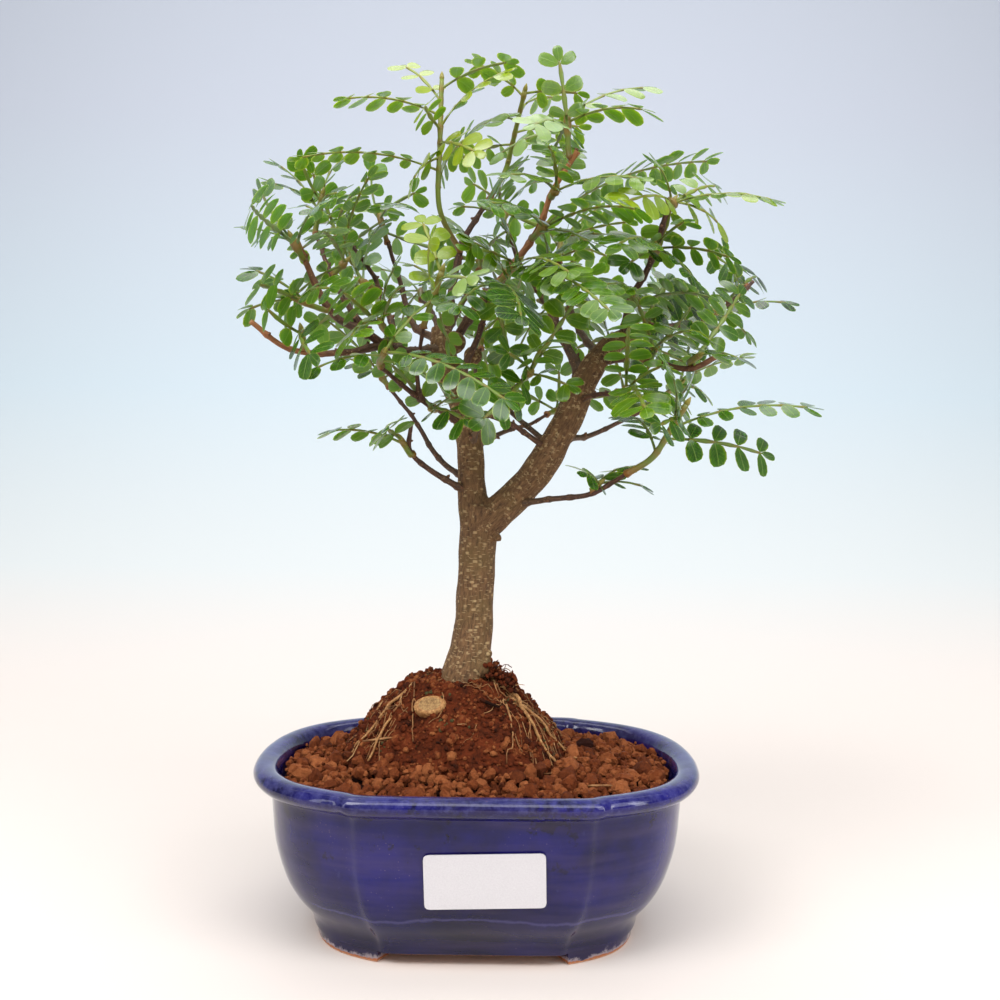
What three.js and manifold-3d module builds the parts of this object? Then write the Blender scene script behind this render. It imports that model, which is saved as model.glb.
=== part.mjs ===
// Japanese pepper bonsai (Zanthoxylum) in a blue glazed pot with a rolled lip.
// Millimetres, +Z up. The pieces are laid out round the middle of the pot, with
// z = 0 under its feet. At the end the group is moved so that the middle of the
// whole object's footprint is the origin.

import * as THREE from "three";
import { mergeVertices } from "three/addons/utils/BufferGeometryUtils.js";
import Module from "manifold-3d";

const wasm = await Module();
wasm.setup();

// Pot
const RIM_HALF_WIDTH = 90;
const RIM_HALF_DEPTH = 69;
const FOOT_HALF_WIDTH = 65;
const FOOT_HALF_DEPTH = 46.5;
const FOOT_HEIGHT = 5;
const FOOT_WALL = 9;
const DRAIN_RADIUS = 7;
const DRAIN_SPACING = 30;
const FLOOR_TOP = 12;

// A quarter of the rim's outline, from the middle of the long side to the end.
// The third and fourth points make the soft crease beside each rounded corner.
const RIM_QUARTER = [
  [0, 69], [24, 69], [43, 68.3], [49, 65.2], [57, 61.6],
  [67, 55.8], [76, 47.8], [83, 37], [87.5, 24], [89.5, 11],
];
const OUTLINE_POINTS = 4 * RIM_QUARTER.length;

// Each foot wraps a corner: its first and last point of the rim's outline
const FEET = [[3, 8], [12, 17], [23, 28], [32, 37]];

// Half-width, half-depth and height, up the outside and over the lip, then down inside
const POT_OUTSIDE = [
  [0, 0, 7], [58, 40, 7], [60, 42, 4.5], [66, 47, 4.5], [67.5, 49, 12.5], [74, 53.5, 16],
  [79, 57.5, 25], [81.5, 59.5, 39], [83, 61, 58], [84.5, 63, 61], [88.5, 67, 62], [90, 69, 65],
  [88.8, 67.8, 68], [86, 65, 69], [81, 60, 68],
];
const POT_INSIDE = [[79, 58, 60], [69, 48, 20], [58, 39, FLOOR_TOP], [0, 0, FLOOR_TOP]];

// Gap kept between pieces that touch
const SEAT = 0.3;

// Square of plastic net over each drainage hole
const NET_SIDE = 24;
const NET_HOLE = 7;
const NET_PITCH = 9.5;
const NET_THICKNESS = 1.2;

// Blank paper sticker on the front wall
const LABEL_WIDTH = 44;
const LABEL_HEIGHT = 21;
const LABEL_THICKNESS = 0.4;
const LABEL_CORNER = 2;
const LABEL_CENTRE = [4.3, -59.7, 37.5];
const LABEL_LEAN = 0.15;
const LABEL_TURN = 0.03;

// Soil of fired clay grains, and the old root ball that stands up out of it
const SOIL_POINTS = 54;
const SOIL_EDGE_LEVEL = 63;
const SOIL_CREST_LEVEL = 68;
const GRAIN_RINGS = 6;
const GRAIN_RISE = 3.6;
const GRAIN_SLIDE = 0.07;
const BALL_CENTRE = [-8, 3];
const BALL_HALF_WIDTH = 50;
const BALL_HALF_DEPTH = 38;
const BALL_SEAT_LEVEL = 56;
const BALL_TOP = 102;
const BALL_POINTS = 26;

// Up the root ball's flank: how far out, and how far up
const BALL_FLANK = [
  [1, 0], [0.93, 0.1], [0.84, 0.26], [0.74, 0.47], [0.6, 0.67], [0.43, 0.92], [0.22, 1], [0, 1],
];
const BALL_LUMP = 3;
const BALL_SWELL = 0.07;

// Trunk, limbs and twigs, as bent tubes: points along the middle, radii spread
// evenly from base to tip, and the number of sides
const WOOD = {
  trunk: [[[-9, 1, 80], [-7, 0, 96], [-3, 0, 115], [-2, 0, 134], [-1, 0, 158], [1, 0, 171]],
    [12.5, 9.5, 8.3, 7.6, 7.8, 8], 10],
  left_trunk: [[[-1, 0, 158], [-4, 2, 178], [-5, 4, 196], [-9, 6, 214], [-16, 8, 231],
    [-18, 10, 246]], [7.4, 6, 5.6, 5.4, 6.2, 4.2], 9],
  right_trunk: [[[0, 0, 162], [13, -2, 174], [24, -4, 187], [34, -6, 205], [41, -4, 221], [50, 0, 235],
    [65, 4, 246]], [7, 6.6, 6.4, 6, 5.6, 4.6, 3], 9],
  long_orange: [[[-15, 8, 234], [-5, 0, 250], [9, -8, 265], [21, -14, 281], [27, -18, 296], [36, -22, 310]],
    [3.4, 3, 2.6, 2.1, 1.8, 1.6], 5],
  branch_front: [[[-9, 5, 214], [-7, -6, 227], [-1, -14, 241], [3, -20, 256]], [2.4, 1.9, 1.6, 1.2], 5],
  dark_top: [[[-17, 9, 240], [-12, 26, 278], [-7, 32, 293], [1, 38, 307]], [3, 2.2, 1.8, 1.3], 5],
  dark_right: [[[40, -2, 226], [25, 20, 260], [18, 30, 270], [14, 38, 282], [8, 46, 298]],
    [2.8, 2.2, 1.8, 1.5, 1.1], 5],
  dark_middle: [[[-16, 9, 243], [-7, 33, 266], [-3, 44, 277]], [2, 1.5, 1.1], 4],
  back_left_up: [[[-18, 10, 240], [-31, 24, 249], [-39, 40, 272], [-46, 52, 291]], [2.4, 1.8, 1.4, 1.1], 5],
  left_limb: [[[-16, 8, 236], [-34, -2, 234], [-45, -10, 239], [-51, -14, 246]], [3.4, 2.8, 2.4, 2], 5],
  left_cut: [[[-46, -11, 240], [-59, -18, 246], [-67, -24, 261], [-72, -28, 273]], [2.2, 1.9, 1.6, 1.5], 5],
  left_dark: [[[-49, -13, 243], [-64, 8, 266], [-74, 24, 288]], [1.8, 1.4, 1], 4],
  left_back: [[[-34, -2, 234], [-47, 28, 266], [-57, 40, 282], [-65, 50, 291]], [2, 1.6, 1.3, 1], 4],
  left_long: [[[-40, -6, 236], [-55, -18, 231], [-74, -28, 231], [-87, -38, 240]], [2.6, 2.1, 1.8, 1.6], 5],
  left_low: [[[-8, 5, 205], [-22, -14, 212], [-31, -28, 218], [-38, -40, 224]], [2, 1.6, 1.3, 1], 4],
  water_shoot: [[[-24, -17, 213], [-25, -26, 222], [-24, -30, 230], [-22, -34, 240]], [1.3, 1.1, 1, 0.9], 4],
  left_lowest: [[[-4, 1, 176], [-20, -12, 185], [-28, -20, 193], [-27, -25, 204]], [2, 1.6, 1.3, 1], 4],
  left_lowest_back: [[[-5, 2, 180], [-19, 16, 191], [-30, 32, 207], [-44, 46, 224]], [1.8, 1.5, 1.2, 1], 4],
  inner_front: [[[-5, 4, 192], [-1, -6, 204], [8, -16, 213], [17, -24, 222], [25, -30, 234]],
    [1.8, 1.5, 1.3, 1.1, 0.9], 4],
  inner_back: [[[-5, 4, 194], [10, 22, 203], [21, 34, 207], [29, 42, 212]], [1.7, 1.4, 1.1, 0.9], 4],
  inner_low: [[[27, -4, 194], [15, -18, 202], [4, -32, 206]], [1.6, 1.3, 1], 4],
  inner_rear: [[[28, -4, 196], [9, 24, 214], [-4, 42, 229], [-2, 54, 243]], [1.7, 1.4, 1.1, 0.9], 4],
  right_lowest: [[[14, -3, 172], [33, -20, 175], [44, -28, 177], [56, -38, 185]], [1.9, 1.5, 1.3, 1.1], 4],
  right_low: [[[33, -5, 199], [45, 12, 201], [58, 22, 207], [72, 32, 214]], [1.9, 1.5, 1.2, 1], 4],
  right_front: [[[38, -5, 214], [45, -18, 216], [53, -30, 216]], [1.6, 1.3, 1], 4],
  right_cut: [[[46, -1, 231], [61, -10, 231], [80, -24, 226], [90, -30, 230]], [2.2, 1.8, 1.5, 1.4], 5],
  right_long: [[[54, 1, 238], [66, 8, 246], [83, 16, 249], [98, 20, 253], [117, 26, 270]],
    [2.4, 1.9, 1.6, 1.3, 1], 5],
  right_up: [[[58, 2, 241], [60, -2, 256], [65, -8, 265], [69, -14, 276], [72, -20, 289]],
    [2.4, 1.9, 1.7, 1.5, 1.4], 5],
  back_top: [[[48, 0, 233], [40, 34, 253], [34, 62, 285]], [2.4, 1.7, 1.1], 5],
  back_left: [[[-17, 9, 240], [-25, 46, 259], [-31, 66, 267]], [2, 1.5, 1.1], 4],
  back_right: [[[60, 3, 243], [72, 40, 252], [79, 60, 263]], [2, 1.5, 1.1], 4],
};

// Roots on the flanks of the root ball, written the same way
const ROOTS = {
  root_left: [[[-14, 0, 101], [-30, -6, 96], [-43, -11, 83], [-52, -13, 74]], [3.5, 2, 1.4, 1], 5],
  root_left_fork: [[[-32, -7, 94], [-38, -16, 83], [-43, -21, 74]], [1.6, 1.3, 1], 4],
  root_front: [[[-12, -6, 98], [-17, -14, 95], [-21, -21, 90]], [5, 4.4, 3.6], 7],
  root_right: [[[0, 0, 102], [13, -8, 97], [27, -14, 85], [38, -17, 73]], [3.4, 2.2, 1.6, 1], 5],
  root_right_fork: [[[14, -8, 97], [29, -5, 87], [40, -5, 74]], [1.9, 1.4, 1], 4],
  root_back: [[[-6, 6, 101], [-9, 20, 97], [-13, 36, 76]], [3.4, 2.2, 1.2], 5],
  root_back_right: [[[0, 5, 101], [16, 17, 94], [29, 29, 77]], [3, 2, 1.1], 5],
};

// Leafy sprays: the branch that carries it, how far along, the end of its green
// shoot, and the tips of its fronds. A fourth number turns a frond about its rib, in
// degrees, where it shows its edge or its whole face to the front.
const SPRAYS = [
  ["dark_top", 0.6, [-19, 8, 349], [[-81, -2, 311, 34], [-29, -14, 298], [0, -24, 307], [-23, -26, 326],
    [-61, -12, 332, 48], [-39, 24, 361], [13, -6, 351]]],
  ["dark_top", 1, [16, 17, 348], [[-18, 60, 329], [47, 45, 342], [-3, -14, 321], [33, 48, 356],
    [-10, 20, 362]]],
  ["dark_middle", 1, [-3, 50, 285], [[-23, 80, 308], [16, 85, 307], [6, 88, 276]]],
  ["back_left_up", 1, [-50, 54, 304], [[-54, 60, 333], [-77, 85, 321], [-36, 20, 299], [-31, 88, 325]]],
  ["left_dark", 1, [-70, 18, 303], [[-99, 30, 311], [-78, 6, 318], [-62, 36, 325]]],
  ["left_dark", 0.55, [-58, 6, 272], [[-43, -14, 306], [-61, -44, 271]]],
  ["left_cut", 0.85, [-73, -32, 273], [[-56, -50, 283], [-92, -40, 274], [-82, -60, 278], [-88, -30, 295],
    [-90, 0, 281]]],
  ["left_cut", 0.4, [-72, -30, 250], [[-93, -30, 262], [-82, -55, 251], [-50, -60, 248], [-86, -40, 243]]],
  ["left_back", 1, [-71, 56, 297], [[-91, 75, 313], [-63, 82, 325], [-93, 66, 285]]],
  ["left_back", 0.5, [-54, 20, 267], [[-76, 50, 263], [-47, 56, 301], [-61, 44, 253]]],
  ["left_limb", 0.6, [-40, -24, 243], [[-51, -55, 249], [-27, -52, 252], [-47, -58, 229]]],
  ["left_low", 1, [-35, -50, 228], [[-65, -52, 218, -18], [14, -80, 205]]],
  ["left_long", 0.6, [-69, -32, 238], [[-92, -8, 256], [-57, -64, 222]]],
  ["left_lowest", 0.7, [-31, -26, 197], [[-60, -45, 198], [-34, -56, 199]]],
  ["water_shoot", 1, [-15, -42, 259], [[-17, -55, 273], [-28, -46, 259], [-1, -62, 251], [-25, -30, 283]]],
  ["left_low", 0.35, [-20, -22, 209], [[-2, -50, 201]]],
  ["left_lowest_back", 1, [-48, 50, 229], [[-68, 75, 239], [-45, 80, 249]]],
  ["inner_front", 0.75, [19, -34, 223], [[37, -45, 214], [27, -60, 232], [6, -62, 229]]],
  ["inner_back", 1, [33, 48, 214], [[50, 70, 228], [37, 85, 234]]],
  ["right_lowest", 0.7, [46, -30, 181], [[39, -45, 183], [54, -40, 179]]],
  ["right_lowest", 1, [75, -52, 210], [[110, -42, 191, -34], [123, -60, 208, 16], [59, -75, 199],
    [62, -44, 209]]],
  ["right_low", 1, [89, 42, 227], [[124, 50, 240], [105, 70, 224], [98, 78, 249]]],
  ["right_front", 1, [56, -36, 217], [[69, -55, 224], [60, -62, 204]]],
  ["right_cut", 0.4, [68, -20, 234], [[78, -58, 235], [58, -55, 217]]],
  ["right_cut", 0.8, [83, -34, 230], [[95, -60, 224]]],
  ["right_long", 0.95, [110, 30, 267], [[102, 30, 286], [126, 58, 278], [113, 75, 284]]],
  ["right_long", 0.6, [100, 14, 255], [[133, 10, 257, -22], [114, 40, 251]]],
  ["right_long", 0.28, [69, 20, 254], [[52, 50, 270], [92, 65, 278], [79, 60, 248]]],
  ["right_up", 1, [74, -20, 292], [[113, -40, 286, -20], [98, 10, 306], [63, -34, 304], [49, -50, 282],
    [97, -8, 284]]],
  ["right_up", 0.7, [67, -20, 274], [[98, -35, 265], [74, -60, 275], [46, -60, 264], [56, -30, 264]]],
  ["right_up", 0.3, [63, -14, 254], [[86, -50, 248], [39, -60, 249]]],
  ["long_orange", 0.97, [32, -20, 325], [[27, -30, 348, 74], [15, -50, 309], [63, -44, 318], [69, -6, 341]]],
  ["long_orange", 0.8, [28, -24, 295], [[63, -45, 292], [6, -55, 290], [22, -60, 301]]],
  ["long_orange", 0.62, [24, -24, 281], [[43, -44, 267], [57, -65, 276], [-1, -60, 279],
    [86, -35, 301, 18]]],
  ["long_orange", 0.4, [14, -18, 268], [[49, -70, 238], [33, -70, 251], [-10, -50, 266], [6, -60, 270]]],
  ["dark_right", 1, [8, 50, 305], [[-15, 30, 302], [-11, 75, 326], [27, 75, 327], [10, 50, 326]]],
  ["dark_right", 0.45, [22, 36, 276], [[47, 60, 297], [50, 75, 269]]],
  ["branch_front", 1, [5, -28, 257], [[-10, -65, 239], [14, -68, 234]]],
  ["back_top", 1, [35, 70, 297], [[58, 85, 318], [64, 95, 293], [71, 62, 304]]],
  ["back_top", 0.6, [25, 60, 266], [[56, 90, 262]]],
  ["inner_rear", 1, [-2, 60, 250], [[-23, 85, 265], [14, 90, 264], [7, 88, 235]]],
  ["right_trunk", 0.85, [55, 20, 245], [[40, 10, 262], [37, 38, 240]]],
  ["back_left", 1, [-32, 75, 273], [[-58, 95, 287], [-18, 100, 292], [-44, 95, 256]]],
  ["back_right", 1, [83, 70, 269], [[76, 95, 298], [104, 90, 258]]],
];

// Green shoots
const SHOOT_RADIUS = [1.3, 1];
const SHOOT_SIDES = 3;
const SHOOT_SEAT = 0.5;
const LONG_SHOOT = 30;
const KNEE = 0.3;
const FIRST_FROND = 0.45;
const FROND_SHARE = 0.5;

// Fronds and their leaflets. A frond has one to three pairs of broad leaflets and a
// narrow one at the end.
const BLADE_THICKNESS = 0.65;
const RIB_HALF_WIDTH = 0.45;
const RIB_SEAT = 0.2;
const MIDDLE_FROND = 37;
const LONG_FROND = 62;
const BARE_SHARE = 0.22;
const LEAFLET_LENGTH = 9.6;
const LEAFLET_ANGLE = 1.15;
const LEAFLET_SHOULDER = 0.8;
const LEAFLET_INSET = 0.1;
const END_LEAFLET_ROOT = 0.75;
const END_LEAFLET_SIZE = 0.82;
const END_LEAFLET_HALF_WIDTH = 2.6;
const MIDDLE_LEAFLET_GAIN = 0.3;
const ARCH = 0.09;
const DROOP = 0.16;
const SHORTEST_FROND = 24;

// Fronds face up and away from the middle of the crown
const CROWN_CENTRE = new THREE.Vector3(5, 0, 250);
const FACING_OUT = 0.7;
const FACING_UP = 0.9;

// Room kept round a frond: to other fronds, to bark, and to fronds of its own
// shoot past the place where they fork. It is looked at spot by spot.
const CLEARANCE = 3.2;
const BARK_CLEARANCE = 1.8;
const STALK_CLEARANCE = 0.9;
const FORK_ROOM = 11;
const FORK_CLEARANCE = 2.4;
const FIRST_SPOT = 7;
const SPOT_STEP = 3.5;
const STALK_SPOTS = [3, 5];
const SPOTS_PER_SHOOT = 13;
const SPOTS_PER_STRETCH = 8;

// A frond that has no room is tried again. Seen from the front its tip stays nearly
// where it was, and it moves forward or back and rolls a little more each time.
const TRIES = 160;
const FRONT_VIEW = new THREE.Vector3(7.8, -434, 181);
const SIGHT_WANDER = 0.0022;
const WANDER = 0.06;
const FRONT_LIMIT = -88;
const BACK_LIMIT = 98;
const ROLL = 0.7;
const MORE_ROLL = 0.012;

// Surfaces
const glaze = { color: 0x1f2a86, roughness: 0.12, metalness: 0 };
const clay = { color: 0x7f4420, roughness: 0.95, metalness: 0 };
const ballSoil = { color: 0x6b2f12, roughness: 0.97, metalness: 0 };
const bark = { color: 0x7c6a4c, roughness: 0.85, metalness: 0 };
const leaf = { color: 0x3d7f25, roughness: 0.35, metalness: 0 };
const paper = { color: 0xf4f4f2, roughness: 0.6, metalness: 0 };
const netPlastic = { color: 0x22252a, roughness: 0.5, metalness: 0 };

const SEEDS = { soil: 11, ball: 23, sprays: 5 };

const bonsai = new THREE.Group();

// A seeded draw of numbers from 0 to 1
function seededDraw(seed) {
  let state = seed;
  return () => {
    state = (state + 0x6d2b79f5) | 0;
    let mixed = Math.imul(state ^ (state >>> 15), 1 | state);
    mixed = (mixed + Math.imul(mixed ^ (mixed >>> 7), 61 | mixed)) ^ mixed;
    return ((mixed ^ (mixed >>> 14)) >>> 0) / 4294967296;
  };
}

// A closed geometry as a solid that can be joined and cut
function solidOf(geometry) {
  const bare = geometry.clone();
  bare.deleteAttribute("normal");
  bare.deleteAttribute("uv");
  const merged = mergeVertices(bare, 1e-4);
  const corners = merged.index.array;
  const kept = [];
  for (let i = 0; i < corners.length; i += 3) {
    const [a, b, c] = [corners[i], corners[i + 1], corners[i + 2]];
    if (a !== b && b !== c && c !== a) kept.push(a, b, c);
  }
  return new wasm.Manifold(new wasm.Mesh({
    numProp: 3,
    vertProperties: merged.attributes.position.array,
    triVerts: new Uint32Array(kept),
  }));
}

function addPiece(name, solid, surface) {
  const { vertProperties, triVerts } = solid.getMesh();
  const geometry = new THREE.BufferGeometry();
  geometry.setAttribute("position", new THREE.BufferAttribute(vertProperties, 3));
  geometry.setIndex(new THREE.BufferAttribute(triVerts, 1));
  geometry.computeVertexNormals();
  const mesh = new THREE.Mesh(geometry, new THREE.MeshStandardMaterial({ ...surface, flatShading: true }));
  mesh.name = name;
  bonsai.add(mesh);
}

// The rim's outline, closed: point k of `count`, on the straight lines between the outline's points
function rimPoint(k, count) {
  const place = (k / count) * OUTLINE_POINTS;
  const from = Math.floor(place);
  const share = place - from;
  const corner = (index) => {
    const turn = Math.floor(index / RIM_QUARTER.length) % 4;
    const step = index % RIM_QUARTER.length;
    const back = RIM_QUARTER.length - step;
    const mirrored = back === RIM_QUARTER.length ? [RIM_HALF_WIDTH, 0] : RIM_QUARTER[back];
    const [x, y] = turn % 2 === 0 ? RIM_QUARTER[step] : mirrored;
    return [[x, -y], [x, y], [-x, y], [-x, -y]][turn];
  };
  const [ax, ay] = corner(from);
  const [bx, by] = corner(from + 1);
  return [ax + (bx - ax) * share, ay + (by - ay) * share];
}

// A turned form of `count` segments whose circle is bent to an outline: profile
// points are [half-width, half-depth, height], and shape(k) gives the outline at 1
function outlinedForm(profile, count, shape) {
  const turned = profile.map(([halfWidth, , height]) => new THREE.Vector2(halfWidth, height));
  const geometry = new THREE.LatheGeometry(turned, count);
  const position = geometry.attributes.position;
  for (let segment = 0; segment <= count; segment++) {
    const [x, y] = shape(segment % count);
    profile.forEach(([halfWidth, halfDepth, height], level) => {
      position.setXYZ(segment * profile.length + level, x * halfWidth, y * halfDepth, height);
    });
  }
  return geometry;
}

function rimShape(count) {
  return (k) => {
    const [x, y] = rimPoint(k, count);
    return [x / RIM_HALF_WIDTH, y / RIM_HALF_DEPTH];
  };
}

// A smooth line through points
function bentLine(points) {
  return new THREE.CatmullRomCurve3(points.map((p) => new THREE.Vector3(...p)), false, "catmullrom", 0.5);
}

// The radius at a share of the way from base to tip
function radiusAt(radii, share) {
  const place = share * (radii.length - 1);
  const from = Math.min(Math.floor(place), radii.length - 2);
  return radii[from] + (radii[from + 1] - radii[from]) * (place - from);
}

// The place at a share of the way along straight stretches between stations
function placeAlong(stations, share) {
  const place = share * (stations.length - 1);
  const from = Math.min(Math.floor(place), stations.length - 2);
  return stations[from].clone().lerp(stations[from + 1], place - from);
}

// A tube along a bent line that tapers: radii are spread evenly from base to tip
function taperedTube(points, radii, sides, steps) {
  const line = bentLine(points);
  const thin = 0.2;
  const corners = Array.from({ length: sides }, (_, k) => {
    const angle = (k / sides) * 2 * Math.PI;
    return new THREE.Vector2(thin * Math.cos(angle), thin * Math.sin(angle));
  });
  const tube = new THREE.ExtrudeGeometry(new THREE.Shape(corners), { steps, extrudePath: line });
  const centres = line.getSpacedPoints(steps);
  const position = tube.attributes.position;
  const vertex = new THREE.Vector3();
  for (let i = 0; i < position.count; i++) {
    vertex.fromBufferAttribute(position, i);
    const distances = centres.map((centre) => centre.distanceTo(vertex));
    const ring = distances.indexOf(Math.min(...distances));
    const radius = radiusAt(radii, ring / steps);
    vertex.sub(centres[ring]).multiplyScalar(radius / thin).add(centres[ring]);
    position.setXYZ(i, vertex.x, vertex.y, vertex.z);
  }
  return tube;
}

function block(width, depth, height, x, y, z) {
  return solidOf(new THREE.BoxGeometry(width, depth, height).translate(x, y, z));
}

// Pot: one fired piece with its four bracket feet and two drainage holes
function makePot() {
  const profile = [...POT_OUTSIDE, ...POT_INSIDE];
  let pot = solidOf(outlinedForm(profile, OUTLINE_POINTS, rimShape(OUTLINE_POINTS)));
  const footPoint = (k, inset) => {
    const [x, y] = rimShape(OUTLINE_POINTS)(k);
    return new THREE.Vector2(x * (FOOT_HALF_WIDTH - inset), y * (FOOT_HALF_DEPTH - inset));
  };
  for (const [firstPoint, lastPoint] of FEET) {
    const outside = [];
    const inside = [];
    for (let k = firstPoint; k <= lastPoint; k++) {
      outside.push(footPoint(k, 0));
      inside.unshift(footPoint(k, FOOT_WALL));
    }
    const plan = new THREE.Shape([...outside, ...inside]);
    const foot = new THREE.ExtrudeGeometry(plan, { depth: FOOT_HEIGHT + 1, bevelEnabled: false });
    pot = pot.add(solidOf(foot));
  }
  for (const side of [-1, 1]) {
    const hole = new THREE.CylinderGeometry(DRAIN_RADIUS, DRAIN_RADIUS, 12, 16).rotateX(Math.PI / 2);
    pot = pot.subtract(solidOf(hole.translate(side * DRAIN_SPACING, 0, FLOOR_TOP - 3)));
  }
  addPiece("pot", pot, glaze);
}

// Plastic nets that keep the soil in over the drainage holes
function makeNets() {
  for (const [name, side] of [["drain_net_left", -1], ["drain_net_right", 1]]) {
    const [x, z] = [side * DRAIN_SPACING, FLOOR_TOP + SEAT + NET_THICKNESS / 2];
    let net = block(NET_SIDE, NET_SIDE, NET_THICKNESS, x, 0, z);
    for (const holeX of [x - NET_PITCH / 2, x + NET_PITCH / 2]) {
      for (const holeY of [-NET_PITCH / 2, NET_PITCH / 2]) {
        net = net.subtract(block(NET_HOLE, NET_HOLE, 2 * NET_THICKNESS, holeX, holeY, z));
      }
    }
    addPiece(name, net, netPlastic);
  }
}

// The root ball's foot outline: a soft-edged oval, the same for the ball and its seat in the soil
function ballShape(count) {
  return (k) => {
    const angle = (k / count) * 2 * Math.PI;
    const swell = 1 + 0.05 * Math.sin(3 * angle + 0.6) + 0.03 * Math.sin(5 * angle);
    return [Math.sin(angle) * swell, -Math.cos(angle) * swell];
  };
}

// Soil: fills the pot to just under the lip. Its top is a bed of grains that rises
// from the wall to the hollow that the root ball sits in.
function makeSoil() {
  const below = [[0, 0, FLOOR_TOP + SEAT]];
  for (const [halfWidth, halfDepth, height] of POT_INSIDE.slice(0, -1).reverse()) {
    below.push([halfWidth - SEAT, halfDepth - SEAT, Math.max(height, FLOOR_TOP + SEAT)]);
  }
  const [edgeWidth, edgeDepth] = below[below.length - 1];
  const edge = [edgeWidth, edgeDepth, SOIL_EDGE_LEVEL];
  const grainRings = Array.from({ length: GRAIN_RINGS }, () => edge);
  const hollow = BALL_SEAT_LEVEL - SEAT;
  const profile = [...below, edge, ...grainRings, [1, 1, hollow], [0, 0, hollow]];
  const form = outlinedForm(profile, SOIL_POINTS, rimShape(SOIL_POINTS));
  const firstRing = below.length + 1;
  const draw = seededDraw(SEEDS.soil);
  for (let segment = 0; segment < SOIL_POINTS; segment++) {
    const [rimX, rimY] = rimShape(SOIL_POINTS)(segment);
    const [ballX, ballY] = ballShape(SOIL_POINTS)(segment);
    const innerX = BALL_CENTRE[0] + ballX * (BALL_HALF_WIDTH + SEAT);
    const innerY = BALL_CENTRE[1] + ballY * (BALL_HALF_DEPTH + SEAT);
    for (let ring = 1; ring <= GRAIN_RINGS; ring++) {
      const loose = ring < GRAIN_RINGS ? 1 : 0;
      const share = ring / GRAIN_RINGS + loose * (draw() - 0.5) * GRAIN_SLIDE;
      const x = rimX * edgeWidth + (innerX - rimX * edgeWidth) * share;
      const y = rimY * edgeDepth + (innerY - rimY * edgeDepth) * share;
      const slope = (SOIL_CREST_LEVEL - SOIL_EDGE_LEVEL) * share;
      const rise = loose * GRAIN_RISE * draw();
      setTurned(form, segment, profile.length, firstRing + ring - 1, x, y, SOIL_EDGE_LEVEL + slope + rise);
    }
    setTurned(form, segment, profile.length, firstRing + GRAIN_RINGS, innerX, innerY, hollow);
    setTurned(form, segment, profile.length, firstRing + GRAIN_RINGS + 1, ...BALL_CENTRE, hollow);
  }
  let soil = solidOf(form);
  const room = NET_SIDE + 2 * SEAT;
  const roomHeight = 2 * (NET_THICKNESS + 2 * SEAT);
  for (const side of [-1, 1]) {
    soil = soil.subtract(block(room, room, roomHeight, side * DRAIN_SPACING, 0, FLOOR_TOP));
  }
  addPiece("soil", soil, clay);
}

// Sets one vertex of a turned form, and its twin on the seam where segment 0 meets the last
function setTurned(form, segment, levels, level, x, y, z) {
  const position = form.attributes.position;
  position.setXYZ(segment * levels + level, x, y, z);
  const lastSegment = position.count / levels - 1;
  if (segment === 0) position.setXYZ(lastSegment * levels + level, x, y, z);
}

// Root ball: an old mound of fine soil, lumpy, with a groove for each root that lies on it
function makeRootBall() {
  const flank = BALL_FLANK.map(() => [1, 1, SOIL_CREST_LEVEL]);
  const profile = [[0, 0, BALL_SEAT_LEVEL], [1, 1, BALL_SEAT_LEVEL], ...flank];
  const form = outlinedForm(profile, BALL_POINTS, ballShape(BALL_POINTS));
  const draw = seededDraw(SEEDS.ball);
  for (let segment = 0; segment < BALL_POINTS; segment++) {
    const [x, y] = ballShape(BALL_POINTS)(segment);
    const place = (level, out, height) => setTurned(form, segment, profile.length, level,
      BALL_CENTRE[0] + x * BALL_HALF_WIDTH * out, BALL_CENTRE[1] + y * BALL_HALF_DEPTH * out, height);
    place(0, 0, BALL_SEAT_LEVEL);
    place(1, 1, BALL_SEAT_LEVEL);
    BALL_FLANK.forEach(([reach, climb], level) => {
      const loose = level > 0 && level < BALL_FLANK.length - 1 ? 1 : 0;
      const swell = 1 + loose * (draw() - 0.5) * BALL_SWELL;
      const lump = loose * (draw() - 0.5) * BALL_LUMP;
      const height = SOIL_CREST_LEVEL + climb * (BALL_TOP - SOIL_CREST_LEVEL);
      place(2 + level, reach * swell, height + lump);
    });
  }
  let ball = solidOf(form);
  for (const [points, radii, sides] of [WOOD.trunk, ...Object.values(ROOTS)]) {
    const roomy = radii.map((radius) => radius + 1.5 * SEAT);
    ball = ball.subtract(solidOf(taperedTube(longer(points), roomy, sides, stepsAlong(points))));
  }
  addPiece("root_ball", ball, ballSoil);
}

// How many straight stretches a bent line of wood is made of
function stepsAlong(points) {
  return points.length > 5 ? points.length : points.length - 1;
}

// The same line with both ends drawn out by the seat gap
function longer(points) {
  const stretch = (end, next) => {
    const [from, to] = [new THREE.Vector3(...next), new THREE.Vector3(...end)];
    return to.add(to.clone().sub(from).setLength(2 * SEAT)).toArray();
  };
  return [stretch(points[0], points[1]), ...points.slice(1, -1), stretch(points.at(-1), points.at(-2))];
}

// Wood: trunk, limbs, twigs and surface roots grown as one piece
function makeWood() {
  let wood = null;
  for (const [points, radii, sides] of [...Object.values(WOOD), ...Object.values(ROOTS)]) {
    const limb = solidOf(taperedTube(points, radii, sides, stepsAlong(points)));
    wood = wood ? wood.add(limb) : limb;
  }
  addPiece("wood", wood, bark);
}

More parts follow.
